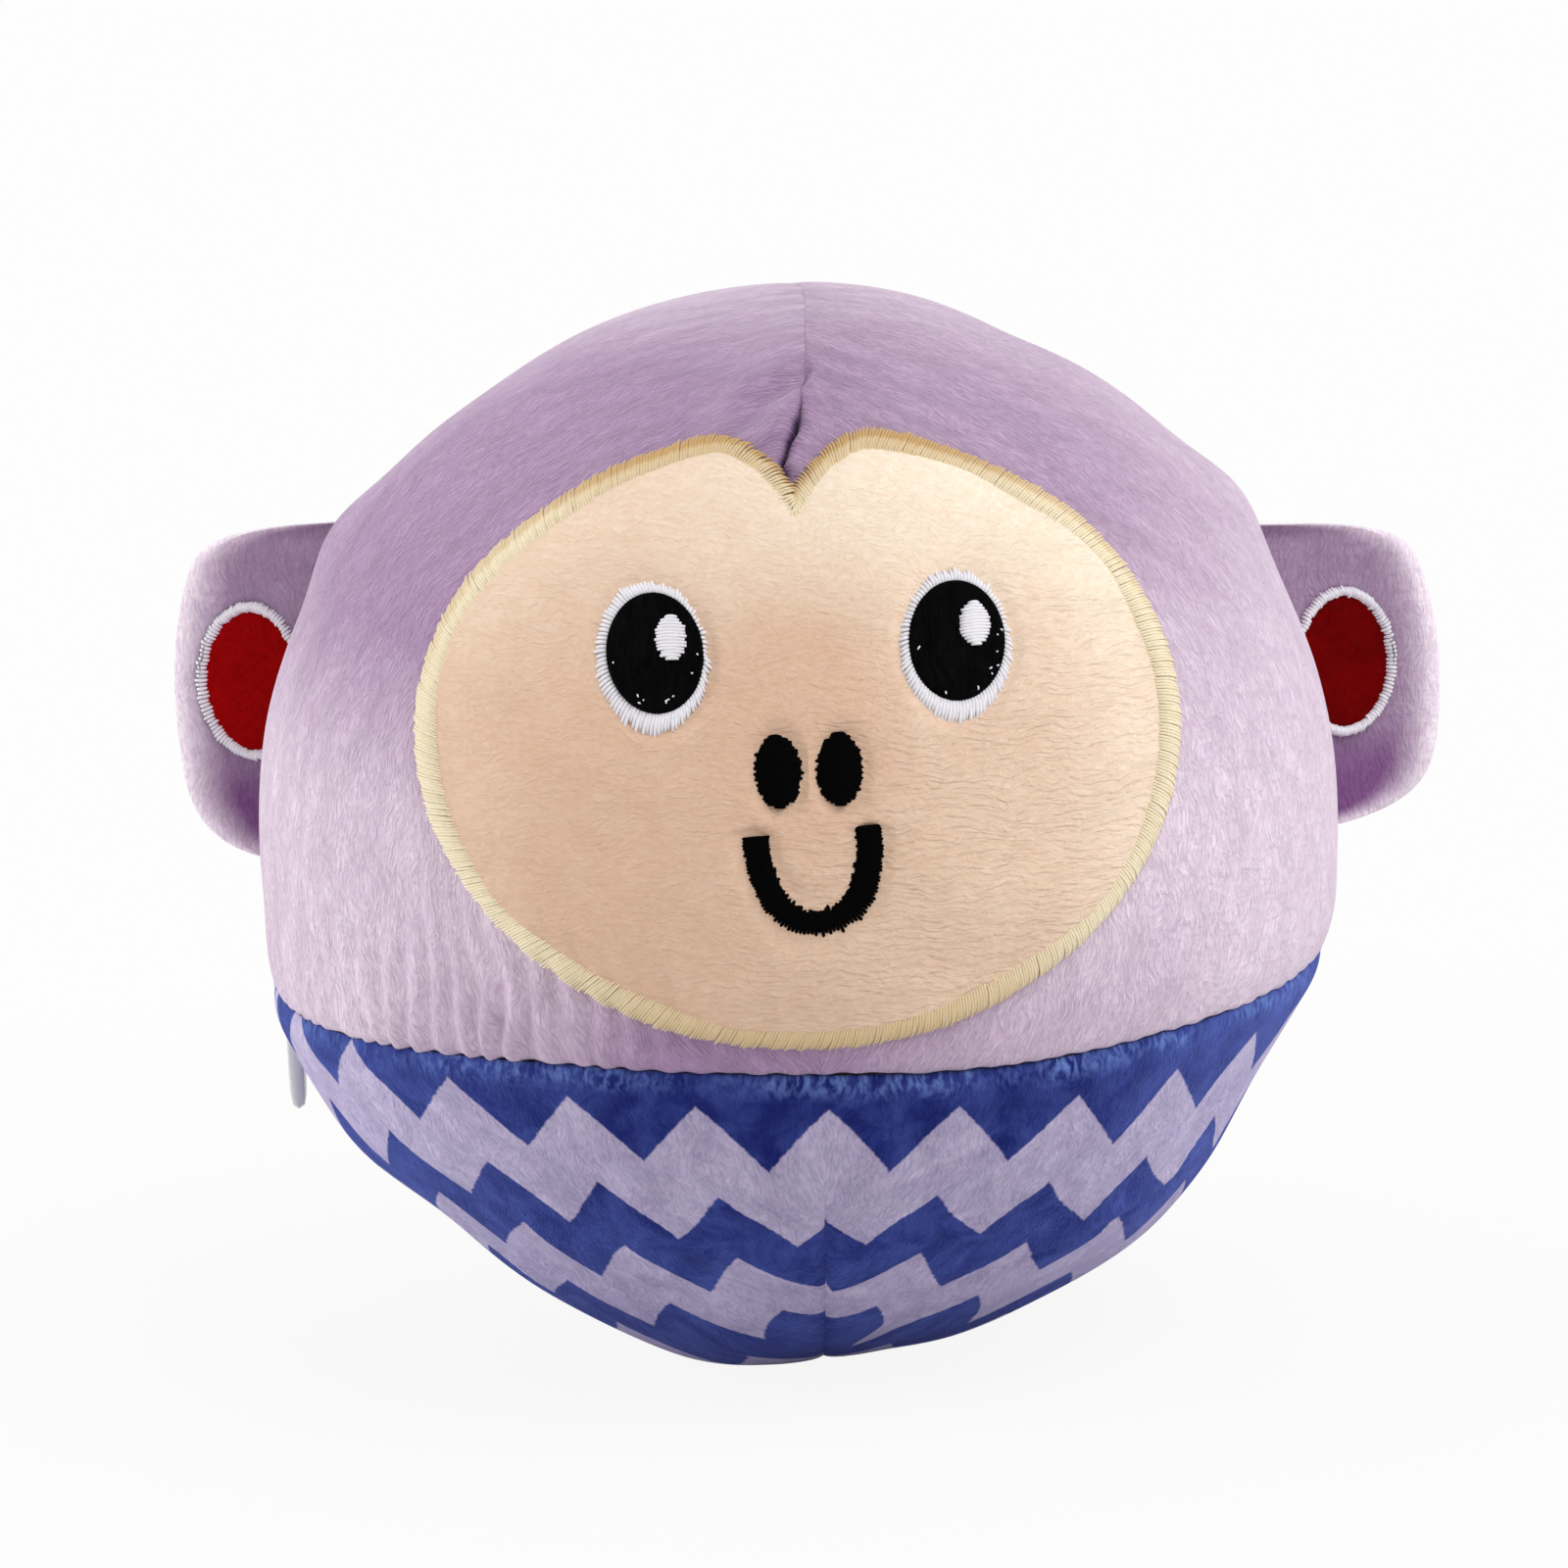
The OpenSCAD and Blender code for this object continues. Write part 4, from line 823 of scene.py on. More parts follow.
# Face
# A panel of short-nap fleece laid on the front of the plush, held down by the stitched border around it and
# drawn in where the eyes, the nostrils and the mouth are sewn through it.
face_half_w = 42.7
face_half_h = 33.2
face_z = 18.6
face_skew = 0.7
notch_depth = 7.8
notch_half = radians(13)
border_w = 3.05
face_lift = 1.5
face_puff = 0.35
sewn_depth = 0.6
eye_x = 16.4
eye_shift = 0.4
eye_z = 28.6
nostril_x = 3.35
nostril_z = 16.1
mouth_z = 9.7
mouth_half_w = 6.2
mouth_h = 9.8
mouth_tilt = radians(3.2)


def notch_scale(turn):
    """How far the face's outline reaches at a turn from the top, as a share: less inside the notch."""
    return 1 - notch_depth / face_half_h * np.maximum(0, 1 - np.abs(turn) / notch_half) ** 1.7


def face_outline(turn, inset):
    """Face outline seen from the front: an oval a little fuller at the left, drawn in by an inset, with a
    notch at the top."""
    reach = notch_scale(turn)
    x = (face_half_w - inset) * reach * np.sin(turn) - face_skew * np.sin(turn) ** 2
    return pair(x, face_z + (face_half_h - inset) * reach * np.cos(turn))


def sewn_spots(flat):
    """How strongly the fleece is drawn down: full under the eyes, the nostrils and the mouth line, fading
    over a couple of millimetres around each."""
    x, z = flat[..., 0], flat[..., 1]
    eye = np.hypot((np.abs(x - eye_shift) - eye_x) / 5.8, (z - eye_z + 0.5) / 7.2)
    nostril = np.hypot((np.abs(x) - nostril_x) / 2.5, (z - nostril_z) / 3.9)
    low = np.minimum(z - mouth_z, 0)
    mouth = np.abs(np.hypot(x / mouth_half_w, low / mouth_h) - 1) * mouth_half_w
    mouth = mouth + 3 * np.maximum(z - mouth_z, 0)
    gaps = [(eye - 1) * 6, (nostril - 1) * 3, mouth - 1.4]
    return np.max([1 - rise(gap, 0, 1.8) for gap in gaps], axis=0)


def on_face(flat, lift):
    """Points over the face: places seen from the front, taken straight onto the ball, then out to the upper
    cover and by the lift."""
    x, z = flat[..., 0], flat[..., 1]
    way = np.stack([x, -np.sqrt(np.maximum(ball_r ** 2 - x * x - z * z, 1)), z], -1) / ball_r
    return way * (head_radius(way) + lift)[..., None]


def fleece_lift(flat):
    """Height of the fleece over the plush: puffed up, drawn down at the sewn spots and towards its edge."""
    puff = face_puff * wool(np.concatenate([flat, 0 * flat[..., :1]], -1), 9.0, 41)
    x, z = flat[..., 0] / face_half_w, (flat[..., 1] - face_z) / face_half_h
    edge = rise(np.hypot(x, z) / notch_scale(np.arctan2(x, z)), 0.8, 0.93)
    return face_lift + puff - sewn_depth * sewn_spots(flat) - 0.3 * edge


def pillow(name, outline, centre, ground, top, depth, rings, edge_mm):
    """Closed pad under an outline: rings shrink the outline to its centre. The top stands top(flat) over the
    ground and rounds off within edge_mm of the outline; the underside lies depth below the ground."""
    spokes = outline - centre
    reach = np.hypot(*spokes.mean(0)) + np.hypot(*spokes.T).mean()
    share = spaced(0, 1, rings, lambda at: 1 + 4 * bump(1 - at, 2 * edge_mm / reach))[:, None, None]
    flat = centre + spokes * share
    inside = np.clip((1 - share[..., 0]) * reach / edge_mm, 0, 1)
    upper = ground(flat, (top(flat) + depth) * np.sqrt(1 - (1 - inside) ** 2) - depth)
    low_flat = centre + spokes * np.linspace(1, 0, 6)[1:, None, None]
    under = ground(low_flat, np.full(low_flat.shape[:-1], -depth))
    uv = np.concatenate([flat, low_flat])
    return sew(name, np.concatenate([upper, under]), uv, ring=True, poles=(True, True))


def fleece_shade(cloth, place):
    """Peach fleece in random clouds, with painted shade that leaves it a little pinker low down and in the middle,
    and painted light that makes it paler towards the top and the right of the face.
    """
    height = place.mm(2) - middle[2]
    cloud = cloth.swayed(8.0, 5.0).stretched(11, 11, 1).grain()
    aside = place.mm(0)
    # Painted shade down the middle of the face, from the nose up between the eyes.
    between = (1 - aside.math("ABSOLUTE").above(2, 14)) * (1 - height.above(30, 42)) * height.above(2, 18)
    lit = 0.7 * height.above(20, 46) * (0.65 + 0.35 * aside.above(-28, 10))
    lit = lit + 0.15 * (1 - aside.above(-40, -22)) + 0.35 * aside.above(-30, 36) + 0.3 * aside.above(24, 38)
    return (lit - 0.3 * between + 0.3 * (cloud - 0.5)).tint((226, 190, 164), (252, 234, 213))


def fleece_folds(cloth, place):
    """Level wavy wrinkles of the nap, strongest low down and to the right."""
    waves = cloth.swayed(5.0, 3.0).stretched(3.0, 0.5, 1).grain(1.0).above(0.25, 0.75)
    return waves * (0.18 + 0.42 * (cloth.part(0) - 0.6 * cloth.part(1)).above(-25, 10))


turns = np.linspace(0, 2 * pi, 401)
around = wrapped(turns)
border_line = face_outline(around, border_w / 2)
face = pillow("face_fleece", border_line, np.array([0, face_z]), on_face, fleece_lift, 0.4, 110, 1.2)
fleece = pile_cloth("peach_fleece", (0.9, 0.4), (0.96, 0.925, 0.89), 0.36, fleece_shade, fleece_folds,
                    Sheen_Weight=0.15, Sheen_Roughness=0.4, Sheen_Tint=srgb(255, 244, 232))
dress(face, fleece, ["face_panel"])


# Stitched border
# Pale gold satin stitch that holds the face's edge down: about seven hundred threads side by side across
# it, slightly slanted and raised over a cord.
def threads(name, paths, wide, high, sides=6, square=1.0):
    """Closed tubes along paths (count, steps, 3) over the ball. Each ring lies across its path, wide along
    the surface and high away from the ball, boxy where square is below 1; flat caps close the ends."""
    count, steps = paths.shape[:2]
    run = unit(np.gradient(paths, axis=1))
    across = unit(np.cross(run, unit(paths)))
    rising = np.cross(across, run)
    angle = 2 * pi * (np.arange(sides) + 0.5) / sides
    bent = [np.sign(wave) * np.abs(wave) ** square for wave in (np.cos(angle), np.sin(angle))]
    wide, high = (np.broadcast_to(size, (count, steps))[..., None, None] for size in (wide, high))
    points = paths[:, :, None] + wide * bent[0][:, None] * across[:, :, None]
    points = points + high * bent[1][:, None] * rising[:, :, None]
    spots = np.arange(count * steps * sides).reshape(count, steps, sides)
    turned = np.roll(spots, -1, axis=2)
    walls = np.stack([spots[:, :-1], spots[:, 1:], turned[:, 1:], turned[:, :-1]], -1).reshape(-1, 4)
    caps = np.concatenate([spots[:, 0], spots[:, -1, ::-1]])
    length = np.cumsum(np.linalg.norm(np.diff(paths, axis=1), axis=-1), 1)
    length = np.concatenate([np.zeros((count, 1)), length], 1)
    turn = np.arange(sides) / sides + np.arange(count)[:, None, None] * 3
    uv = pair(*np.broadcast_arrays(turn, length[..., None])).reshape(-1, 2)
    corner = np.concatenate([walls.ravel(), caps.ravel()])
    return build(name, points, [walls, caps], uv[corner])


def satin(name, starts, ends, ground, lift, arch, thread_r):
    """Satin stitch: a thread from each start to its end, seen flat, sunk at both ends and arched over the
    ground."""
    share = np.linspace(0, 1, 7)
    flat = starts[:, None] + (ends - starts)[:, None] * share[:, None]
    paths = ground(flat, lift + arch * np.sin(pi * share) ** 0.6)
    slim = thread_r * (0.55 + 0.45 * np.sin(pi * np.clip(share, 0.08, 0.92)) ** 0.5)
    return threads(name, paths, slim, slim)


def evenly(outline, count, closed):
    """Points at equal steps along a line, with its left-hand normals and directions; along a closed line
    these are averaged over a few steps, to fan out round its corners."""
    run = np.concatenate([[0], np.cumsum(np.hypot(*np.diff(outline, axis=0).T))])
    places = (np.arange(count) + 0.5) / count * run[-1]
    points, step = (np.stack([np.interp(places, run, line) for line in lines.T], -1)
                    for lines in (outline, np.gradient(outline, axis=0)))
    if closed:
        step = sum(np.roll(unit(step), shift, 0) for shift in range(-4, 5))
    step = unit(step)
    return points, pair(-step[:, 1], step[:, 0]), step


def thread_finish(name, deep, pale, roughness, sheen, painted_shade_of=None, worn=None):
    """Embroidery thread: fine fibres along each thread and a shade of its own for each. A function after the
    sheen gives the share of the last argument's colour, a painted shade, from the places on the thread and
    on the object."""
    material, start = new_finish(name, Sheen_Weight=sheen, Sheen_Roughness=0.3, Specular_IOR_Level=sheen)
    cloth = start.cloth()
    fibre = cloth.stretched(0.12, 0.5, 1).grain(2.0)
    own = cloth.stretched(3.0, 60.0, 1).grain(1.0)
    shade = (0.5 * fibre + 0.6 * own).above(0.3, 0.8).tint(deep, pale)
    if painted_shade_of:
        shade = painted_shade_of(cloth, start.place()).tint(shade, worn)
    shade.feed("Base Color")
    (roughness + 0.2 * fibre).feed("Roughness")
    fibre.relief(0.05, 0.5)
    return material


def border_painted_shade(cloth, place):
    """Share of painted shade, golden brown, at the top and bottom of the face, most at the threads' outer ends
    over the brow.
    """
    height = place.mm(2) - (middle[2] + face_z)
    at_ends = cloth.part(1).above(2.3, 3.3) * height.above(-5, 25)
    return 0.6 * height.math("ABSOLUTE").above(20, 33) + 0.5 * at_ends


rng = np.random.default_rng(7)
border_threads = 700
border_slant = 0.55
border_lift = 0.45
border_arch = 0.95
border_thread_r = 0.19
cord_half_h = 0.62
border_mid, border_out, border_run = evenly(border_line, border_threads, True)
border_half = border_w / 2 + rng.normal(0, 0.09, (2, border_threads, 1))
slant = border_slant * border_run
border_cord = on_face(border_line, np.full(around.shape, border_lift))[None]
cord = threads("face_border_underlay", border_cord, border_w / 2 - 0.2, cord_half_h, 10)
# The cord's gold is darker than the threads': painted shade where it shows between them.
underlay = thread_finish("gold_underlay", (196, 164, 116), (222, 194, 148), 0.6, 0.1)
dress(cord, underlay, [])
border = satin("face_border_stitch", border_mid - border_out * border_half[0] - slant,
               border_mid + border_out * border_half[1] + slant,
               on_face, border_lift, border_arch, border_thread_r)
# Painted shade in golden brown at the top and bottom of the face and at the threads' outer ends.
gold_thread = thread_finish("gold_thread", (232, 211, 168), (254, 246, 224), 0.5, 0.3,
                            border_painted_shade, (200, 162, 104))
dress(border, gold_thread, ["face_border"])

# Eyes
# Black filled ovals with a white satin ring behind each, thicker on the outer lower side, whose thread ends
# stay ragged, a glint of a few level white stitches on top, and specks where white shows through the black.
pupil_half_w = 5.4
pupil_half_h = 6.3
pupil_lift = 1.5
pupil_base = 0.6
white_shifts = {"left": (-0.5, -0.4), "right": (-0.15, -0.55)}
white_half_w = 6.2
white_half_h = 7.9
white_lap = 0.35
ring_threads = 96
glint_at = np.array([1.9, 1.45])
glint_half_w = 1.65
glint_half_h = 2.25
glint_threads = 14
speck_count = 9
speck_from = radians(80)
speck_to = radians(265)
white_thread = thread_finish("white_thread", (222, 217, 228), (253, 252, 253), 0.45, 0.3)
black_thread = thread_finish("black_thread", (2, 2, 3), (9, 9, 10), 0.5, 0.01)


def oval(turn, half_w, half_h):
    """Places on an oval about nothing, at turns from its top."""
    return pair(half_w * np.sin(turn), half_h * np.cos(turn))


def flat_top(height):
    """A pillow's top of one height."""
    return lambda flat: height + 0 * flat[..., 0]


def level_stitch(name, at, half_w, half_h, count, end, ragged, lift, arch, thread_r):
    """Level satin threads with ragged ends across an oval on the face, up to an end share of its height."""
    level = np.linspace(-end, end, count)
    reach = half_w * np.sqrt(1 - level ** 2) + ragged * rng.normal(0, 1, (2, count))
    line = at + pair(0 * level, half_h * level)
    starts, ends = line - pair(reach[0], 0 * level), line + pair(reach[1], 0 * level)
    return satin(name, starts, ends, on_face, lift, arch, thread_r)


def black_shade(cloth, place):
    """Black thread, a little worn."""
    return cloth.stretched(2, 2, 1).grain().tint((2, 2, 3), (12, 12, 12))


black_fill = pile_cloth("black_fill", (0.3, 2.4), (0.4, 0.4, 0.4), 0.12, black_shade)
for half, side in halves.items():
    eye = np.array([side * eye_x + eye_shift, eye_z])
    rim = oval(2 * pi * np.arange(ring_threads) / ring_threads, 1, 1)
    ragged = 1 + 0.022 * rng.normal(0, 1, (ring_threads, 1))
    inner = eye + rim * [pupil_half_w - white_lap, pupil_half_h - white_lap]
    outer = eye + np.array(white_shifts[half]) + rim * [white_half_w, white_half_h] * ragged
    ring = satin(f"eye_white_stitch_{half}", inner, outer, on_face, 0.7, 0.4, 0.22)
    dress(ring, white_thread, [f"eye_white_{half}"])
    pupil_rim = eye + oval(turns[::4], pupil_half_w, pupil_half_h)
    pupil = pillow(f"eye_pupil_fill_{half}", pupil_rim, eye, on_face,
                   flat_top(pupil_lift), -pupil_base, 24, 0.5)
    dress(pupil, black_fill, [f"eye_pupil_{half}"])
    speck_turn = rng.uniform(speck_from, speck_to, speck_count)
    speck_reach = rng.uniform(0.78, 0.93, (speck_count, 1))
    speck = eye + oval(speck_turn, pupil_half_w, pupil_half_h) * speck_reach
    speck_run = rng.normal(0, 0.09, (speck_count, 2))
    specks = satin(f"eye_specks_{half}", speck - speck_run, speck + speck_run,
                   on_face, pupil_lift - 0.04, 0.06, 0.1)
    dress(specks, white_thread, [])
    glint = level_stitch(f"eye_glint_stitch_{half}", eye + glint_at, glint_half_w, glint_half_h,
                         glint_threads, 0.94, 0.08, pupil_lift, 0.25, 0.21)
    dress(glint, white_thread, [f"eye_glint_{half}"])

# Nostrils and mouth
# Black satin stitch with ragged ends: level threads across two ovals, and threads across the line of a
# U-shaped smile.
nostril_half_w = 2.5
nostril_half_h = 3.8
nostril_threads = 26
mouth_line = 3.0
smile_fullness = 0.85
mouth_threads = 76
black_lift = 0.8
black_arch = 0.65
for half, side in halves.items():
    nostril_at = np.array([side * nostril_x, nostril_z])
    nostril = level_stitch(f"nostril_stitch_{half}", nostril_at, nostril_half_w, nostril_half_h,
                           nostril_threads, 0.97, 0.12, black_lift, black_arch, 0.26)
    dress(nostril, black_thread, [f"nostril_{half}"])
smile_turn = np.linspace(-pi / 2, pi / 2, 181)
smile_x = np.sign(smile_turn) * np.abs(np.sin(smile_turn)) ** smile_fullness
smile = pair(mouth_half_w * smile_x, -mouth_h * np.cos(smile_turn) ** smile_fullness)
cos_tilt, sin_tilt = cos(mouth_tilt), sin(mouth_tilt)
smile = smile @ np.array([[cos_tilt, sin_tilt], [-sin_tilt, cos_tilt]]) + [0, mouth_z]
mouth_mid, mouth_out, _ = evenly(smile, mouth_threads, False)
spiky = 0.1 + 0.14 * bump(mouth_mid[:, :1], 3.5)
mouth_half = mouth_line / 2 + spiky * rng.normal(0, 1, (2, mouth_threads, 1))
mouth = satin("mouth_satin", mouth_mid - mouth_out * mouth_half[0], mouth_mid + mouth_out * mouth_half[1],
              on_face, black_lift, black_arch, 0.25)
dress(mouth, black_thread, ["mouth_stitch"])

# Ears
# Two lightly stuffed plush flaps sewn into the sides of the head, dished in front with a rolled rim. Each
# runs into the head at its root. A red oval is sewn into each dish under a white
# satin edge.
ear_back = radians(14)
ear_root_r = 65.3
ear_sink = 4.5
ear_cup = 3.2
ear_rows = 170
ear_columns = 56
joints = {joint["name"]: joint for joint in frame["joints"]}
# Each ear as sewn and stuffed: side, height of its middle, half its height, reach from the ball's axis,
# and its patch's reach and half height
ears = {"left": (-1, 16.4, 20.6, 75.7, 71.6, 8.6), "right": (1, 13.0, 18.8, 80.4, 74.0, 8.1)}


def ear_span(ear, z):
    """Out places of an ear's sunk root and edge at a height, and that height's share from the ear's middle.
    The edge is square at the top and slopes off below."""
    _, mid, half_h, reach = ear[:4]
    level = np.clip((z - mid) / half_h, -1, 1)
    corner = np.where(level > 0, (1 - np.abs(level) ** 14) ** 0.45, (1 - np.abs(level) ** 6) ** 0.55)
    root = np.sqrt(ear_root_r ** 2 - z ** 2) - ear_sink
    taper = np.where(level > 0, 4.9, 2.2) * level * level
    return root, root + (reach - taper - root) * corner, level


def ear_forward(ear, out, z, front):
    """Forward places of an ear's front or rear, and the share of painted shade on them: on the front, most
    inside the dish and towards the lower end, and a light share all over the rear. The middle line curls
    forward, the front is dished inside a rim, the rear is rounded, and both close round at the edge."""
    root, edge, level = ear_span(ear, z)
    share = (out - root) / np.maximum(edge - root, 0.01)
    inside = np.minimum(np.maximum(edge - out, 0), 0.8 * (1 - np.abs(level)) * ear[2])
    closing = np.sqrt(1 - (1 - np.minimum(inside / 2.4, 1)) ** 2)
    height = np.where(front, 0.5 + 1.1 * bump(inside - 2.4, 2.8), -2.0 - 1.8 * rise(inside, 1, 7))
    # Painted shade in the dish, deeper away from the edge and towards the lower end.
    deep = rise(edge - out, 0.2, 6.0) * (0.72 + 0.28 * rise(-level, 0.2, 0.7))
    return ear_cup * share ** 2 + closing * height, np.where(front, deep, 0.3)


def ear_points(ear, out, forward, z):
    """Points of an ear at its bearing: out from the ball's axis, forward, and up."""
    x = ear[0] * (out * cos(ear_back) + forward * sin(ear_back))
    return np.stack([x, out * sin(ear_back) - forward * cos(ear_back), z + 0 * x], -1)


def ear_grid(ear):
    """Closed ear: around its section, front then rear, for heights from the lower to the upper end. The
    rear's places on the cloth lie aside from the front's."""
    z = ear[1] + ear[2] * np.sin(np.linspace(-pi / 2, pi / 2, ear_rows))[:, None]
    half = np.sin(np.linspace(0, pi / 2, ear_columns))
    share = np.concatenate([half, half[-2::-1], half[:1]])
    front = np.concatenate([np.ones(ear_columns, bool), np.zeros(ear_columns - 1, bool), [True]])
    root, edge, _ = ear_span(ear, z)
    out = root + (edge - root) * share
    forward, depth = ear_forward(ear, out, z, front)
    points = ear_points(ear, out, forward, z)
    points[..., 1] += 0.16 * wool(points, 5.0, 51) + 0.07 * wool(points * [1, 1, 2.2], 2.6, 52)
    uv = pair(out + 40 * ~front, z + 0 * out)
    flip = slice(None, None, ear[0])
    return points[:, flip], uv[:, flip], depth[:, flip]


def ear_bend(made, half):
    """Bakes a piece's place into its mesh. The ear's bend joint, its axis and points a millimetre in and five out
    from its hinge are worked out, but nothing bends.
    """
    joint = joints[f"ear_{half}_bend"]
    axis = np.array(joint["axis"])
    out = np.array([ears[half][0], 0.0, 0.0])
    out = unit(out - (out @ axis) * axis)
    hinge = np.array(joint["pos_m"])
    tuple(hinge - 1.0 * MM * out)
    tuple(hinge + 5.0 * MM * out)
    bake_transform(made)


patch_half_w = 5.3
patch_rise = 1.3
patch_lift = 0.5
patch_border_w = 1.0
patch_threads = 110


def patch_line(ear, turn, grow):
    """Edge of the ear's oval patch as out and up from its middle, grown by a width."""
    return pair((patch_half_w + grow) * np.cos(turn), (ear[5] + grow) * np.sin(turn))


def ear_shade(cloth, place):
    """Lavender plush, dark inside the dish from the nap and painted shade, and pale on the rim."""
    return cloth.depth().tint((244, 229, 241), (130, 88, 137))


def ear_folds(cloth, place):
    """Level ripples of the nap."""
    return 0.5 * cloth.swayed(5.0, 2.5).stretched(4.0, 0.8, 1).grain(1.0)


def red_shade(cloth, place):
    """Deep red cloth with a slight bloom, with painted light on the left ear's patch and painted shade on the
    right ear's.
    """
    # Painted light on the left ear's patch, painted shade on the right ear's.
    left = 1 - place.mm(0).above(-5, 5)
    return (0.4 * cloth.stretched(6, 6, 1).grain() + 0.57 * left).tint((84, 2, 4), (164, 8, 10))


ear_plush = pile_cloth("ear_plush", (0.3, 1.2), (0.86, 0.81, 0.88), 0.6, ear_shade, ear_folds,
                       Sheen_Weight=0.25, Sheen_Roughness=0.4, Sheen_Tint=srgb(250, 240, 252))
red_cloth = pile_cloth("red_cloth", (0.35, 0.5), (0.8, 0.7, 0.7), 0.10, red_shade)
patch_turns = np.linspace(0, 2 * pi, 161)
stitch_turns = 2 * pi * np.arange(patch_threads) / patch_threads
for half, ear in ears.items():
    def on_ear(flat, lift):
        """Points over an ear's front at a place out and up from the patch's middle."""
        out = ear[4] - patch_half_w + flat[..., 0]
        z = ear[1] + patch_rise + flat[..., 1]
        return ear_points(ear, out, ear_forward(ear, out, z, True)[0] + lift, z)

    ear_shape, ear_cloth, ear_depth = ear_grid(ear)
    flap = sew(f"plush_ear_{half}", ear_shape, ear_cloth, ring=True, poles=(True, True), depth=ear_depth)
    dress(flap, ear_plush, [f"ear_{half}"], None)
    patch_rim = patch_line(ear, -ear[0] * patch_turns, 0.3)
    patch = pillow(f"ear_patch_cloth_{half}", patch_rim, np.zeros(2), on_ear,
                   flat_top(patch_lift), 0.3, 24, 0.6)
    dress(patch, red_cloth, [f"ear_patch_{half}"], None)
    ragged = 0.08 * rng.normal(0, 1, (2, patch_threads))
    trim = satin(f"ear_border_stitch_{half}", patch_line(ear, stitch_turns, ragged[0] - 0.1),
                 patch_line(ear, stitch_turns, patch_border_w + ragged[1]), on_ear, 0.2, 0.7, 0.23)
    dress(trim, white_thread, [f"ear_border_{half}"], None)
    for made in (flap, patch, trim):
        ear_bend(made, half)

# Zip
# A moulded zip across the back of the waist: two woven tapes sewn inside the covers' edges, a row of small
# teeth on each, parted at the ends where the slider's post stands, a stop at either end, and a glossy
# slider with its pull hanging from a wire link.
zip_shut = radians(160)
zip_open = radians(20)
tape_end = radians(14)
tape_r = 62.0
tape_w = 8.5
tape_t = 0.8
weave_pitch = 0.45
row_half = 0.7
teeth_count = 60
tooth_r = 63.3
# A tooth's section from its tip to its root in the tape: reach from the seam and half sizes
tooth_reach = np.array([0.06, 0.5, 1.1, 1.7, 2.3, 2.8])
tooth_half_w = np.array([0.42, 0.60, 0.58, 0.42, 0.52, 0.55])
tooth_half_h = np.array([0.62, 0.80, 0.82, 0.70, 0.85, 0.85])
parted = 0.45
parted_run = radians(4.2)


def at_waist(bearing, radius, height):
    """Points over the waist seam: bearing from the right side round the back, and height along the ball."""
    return toward(bearing + pi / 2, seam_lat + height / ball_r) * radius


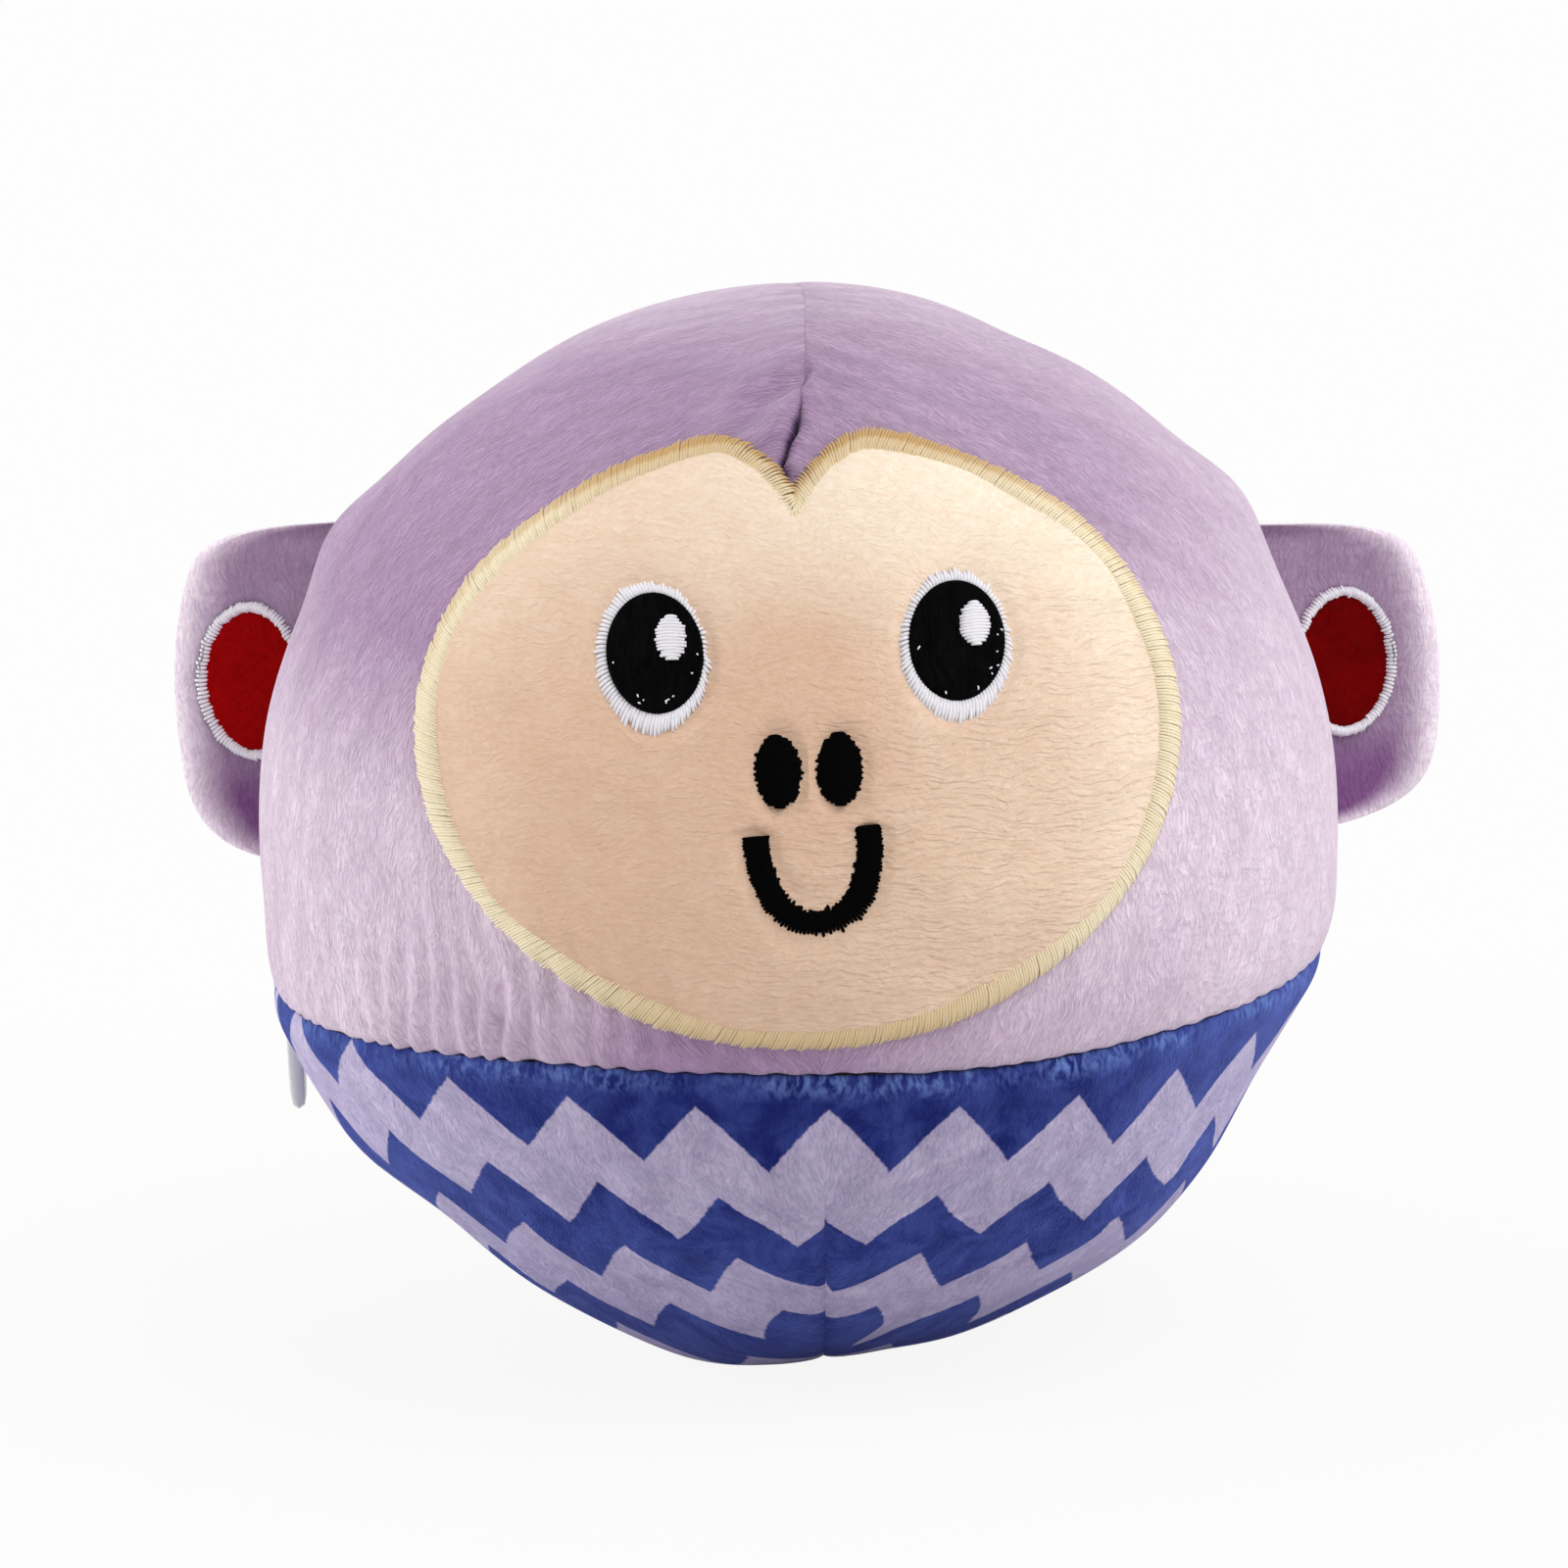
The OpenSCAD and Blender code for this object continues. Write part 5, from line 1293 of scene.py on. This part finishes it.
tape_finish, start = new_finish("zip_tape", Roughness=0.85, Sheen_Weight=0.15)
weave = start.cloth().stretched(1 / 18, 1, 1)
warp, weft = ((weave.part(number) * (pi / weave_pitch)).math("SINE") for number in (0, 1))
rib = warp * weft
(0.5 + 0.5 * rib).tint((206, 200, 210), (240, 238, 240)).feed("Base Color")
rib.relief(0.08, 0.6)
tooth_finish = moulded("zip_teeth", (236, 234, 232), 0.3, 0.0, 0.5)
for half, side in (("upper", 1), ("lower", -1)):
    tape_run = np.linspace(zip_open - tape_end, zip_shut + tape_end, 160)
    tape_path = at_waist(tape_run, tape_r, side * (row_half + tape_w / 2) + 0 * tape_run)[None]
    tape = threads(f"zip_tape_weave_{half}", tape_path, tape_w / 2, tape_t / 2, 12, 0.35)
    dress(tape, tape_finish, [f"zip_tape_{half}"])
    tooth_pitch = (zip_shut - zip_open) / teeth_count
    tooth_at = zip_open + tooth_pitch * (np.arange(teeth_count)[:, None] + 0.5 + side / 4)
    from_end = np.minimum(tooth_at - zip_open, zip_shut - tooth_at)
    apart = parted * (1 - rise(from_end, parted_run, 1.6 * parted_run)) * (1 - tooth_reach / tooth_reach[-1])
    tooth_path = at_waist(tooth_at + 0 * tooth_reach, tooth_r, side * (tooth_reach + apart))
    teeth = threads(f"zip_teeth_row_{half}", tooth_path, tooth_half_w, tooth_half_h, 12, 0.6)
    dress(teeth, tooth_finish, [f"zip_teeth_{half}"])
zip_metal = moulded("zip_metal", (226, 226, 230), 0.22, 0.0, 0.8)
for node in ("zip_end_stops", "zip_slider", "zip_link"):
    solid = refinish(node, zip_metal)
    joined = solid.modifiers.new("joined", "WELD")
    joined.merge_threshold = 0.01 * MM
    edge = solid.modifiers.new("edge", "BEVEL")
    edge.width = 0.25 * MM
    edge.segments = 2
pull_half_w = 2.8
pull_half_t = 0.95
pull_top = 2.4
pull_drop = 13.6
pull_hole_r = 1.2
pull_twist = radians(20)
hole_low = 6.3
# The pull's section from the hole over the front, round the rim and back: shares of the way out and of
# the thickness
pull_out = np.array([0, 0.06, 0.5, 0.86, 0.96, 1, 0.96, 0.86, 0.5, 0.06, 0, 0])
pull_thick = np.array([0.8, 1, 0.92, 1, 0.75, 0, -0.75, -1, -0.92, -1, -0.8, 0.8])


def pull_grid(pivot):
    """Flat pull with rounded ends and a hole, hanging below its pivot and turned a little on its link: its
    section carried around the hole."""
    turn = np.linspace(0, 2 * pi, 97)
    sine, cosine = np.sin(turn), np.cos(turn)
    across = pull_half_w * np.sign(sine) * np.abs(sine) ** 0.75
    height = np.where(cosine > 0, pull_top, pull_drop) * np.sign(cosine) * np.abs(cosine) ** 0.6
    hole = oval(np.arctan2(across, height), pull_hole_r, pull_hole_r)
    flat = hole + (pair(across, height) - hole) * pull_out[:, None, None]
    facing = zip_shut + pull_twist
    thin = np.array([cos(facing), sin(facing), 0])
    along = np.array([-sin(facing), cos(facing), 0])
    level = np.array([0, 0, 1]) * (flat[..., 1] - hole_low)[..., None]
    return pivot + pull_half_t * pull_thick[:, None, None] * thin + flat[..., :1] * along + level


pull_pivot = np.array(joints["zip_pull_swing"]["pos_m"]) / MM - middle
pull = sew("zip_pull_tag", pull_grid(pull_pivot), ring=True, loop=True)
dress(pull, zip_metal, ["zip_pull"], "zip_pull")
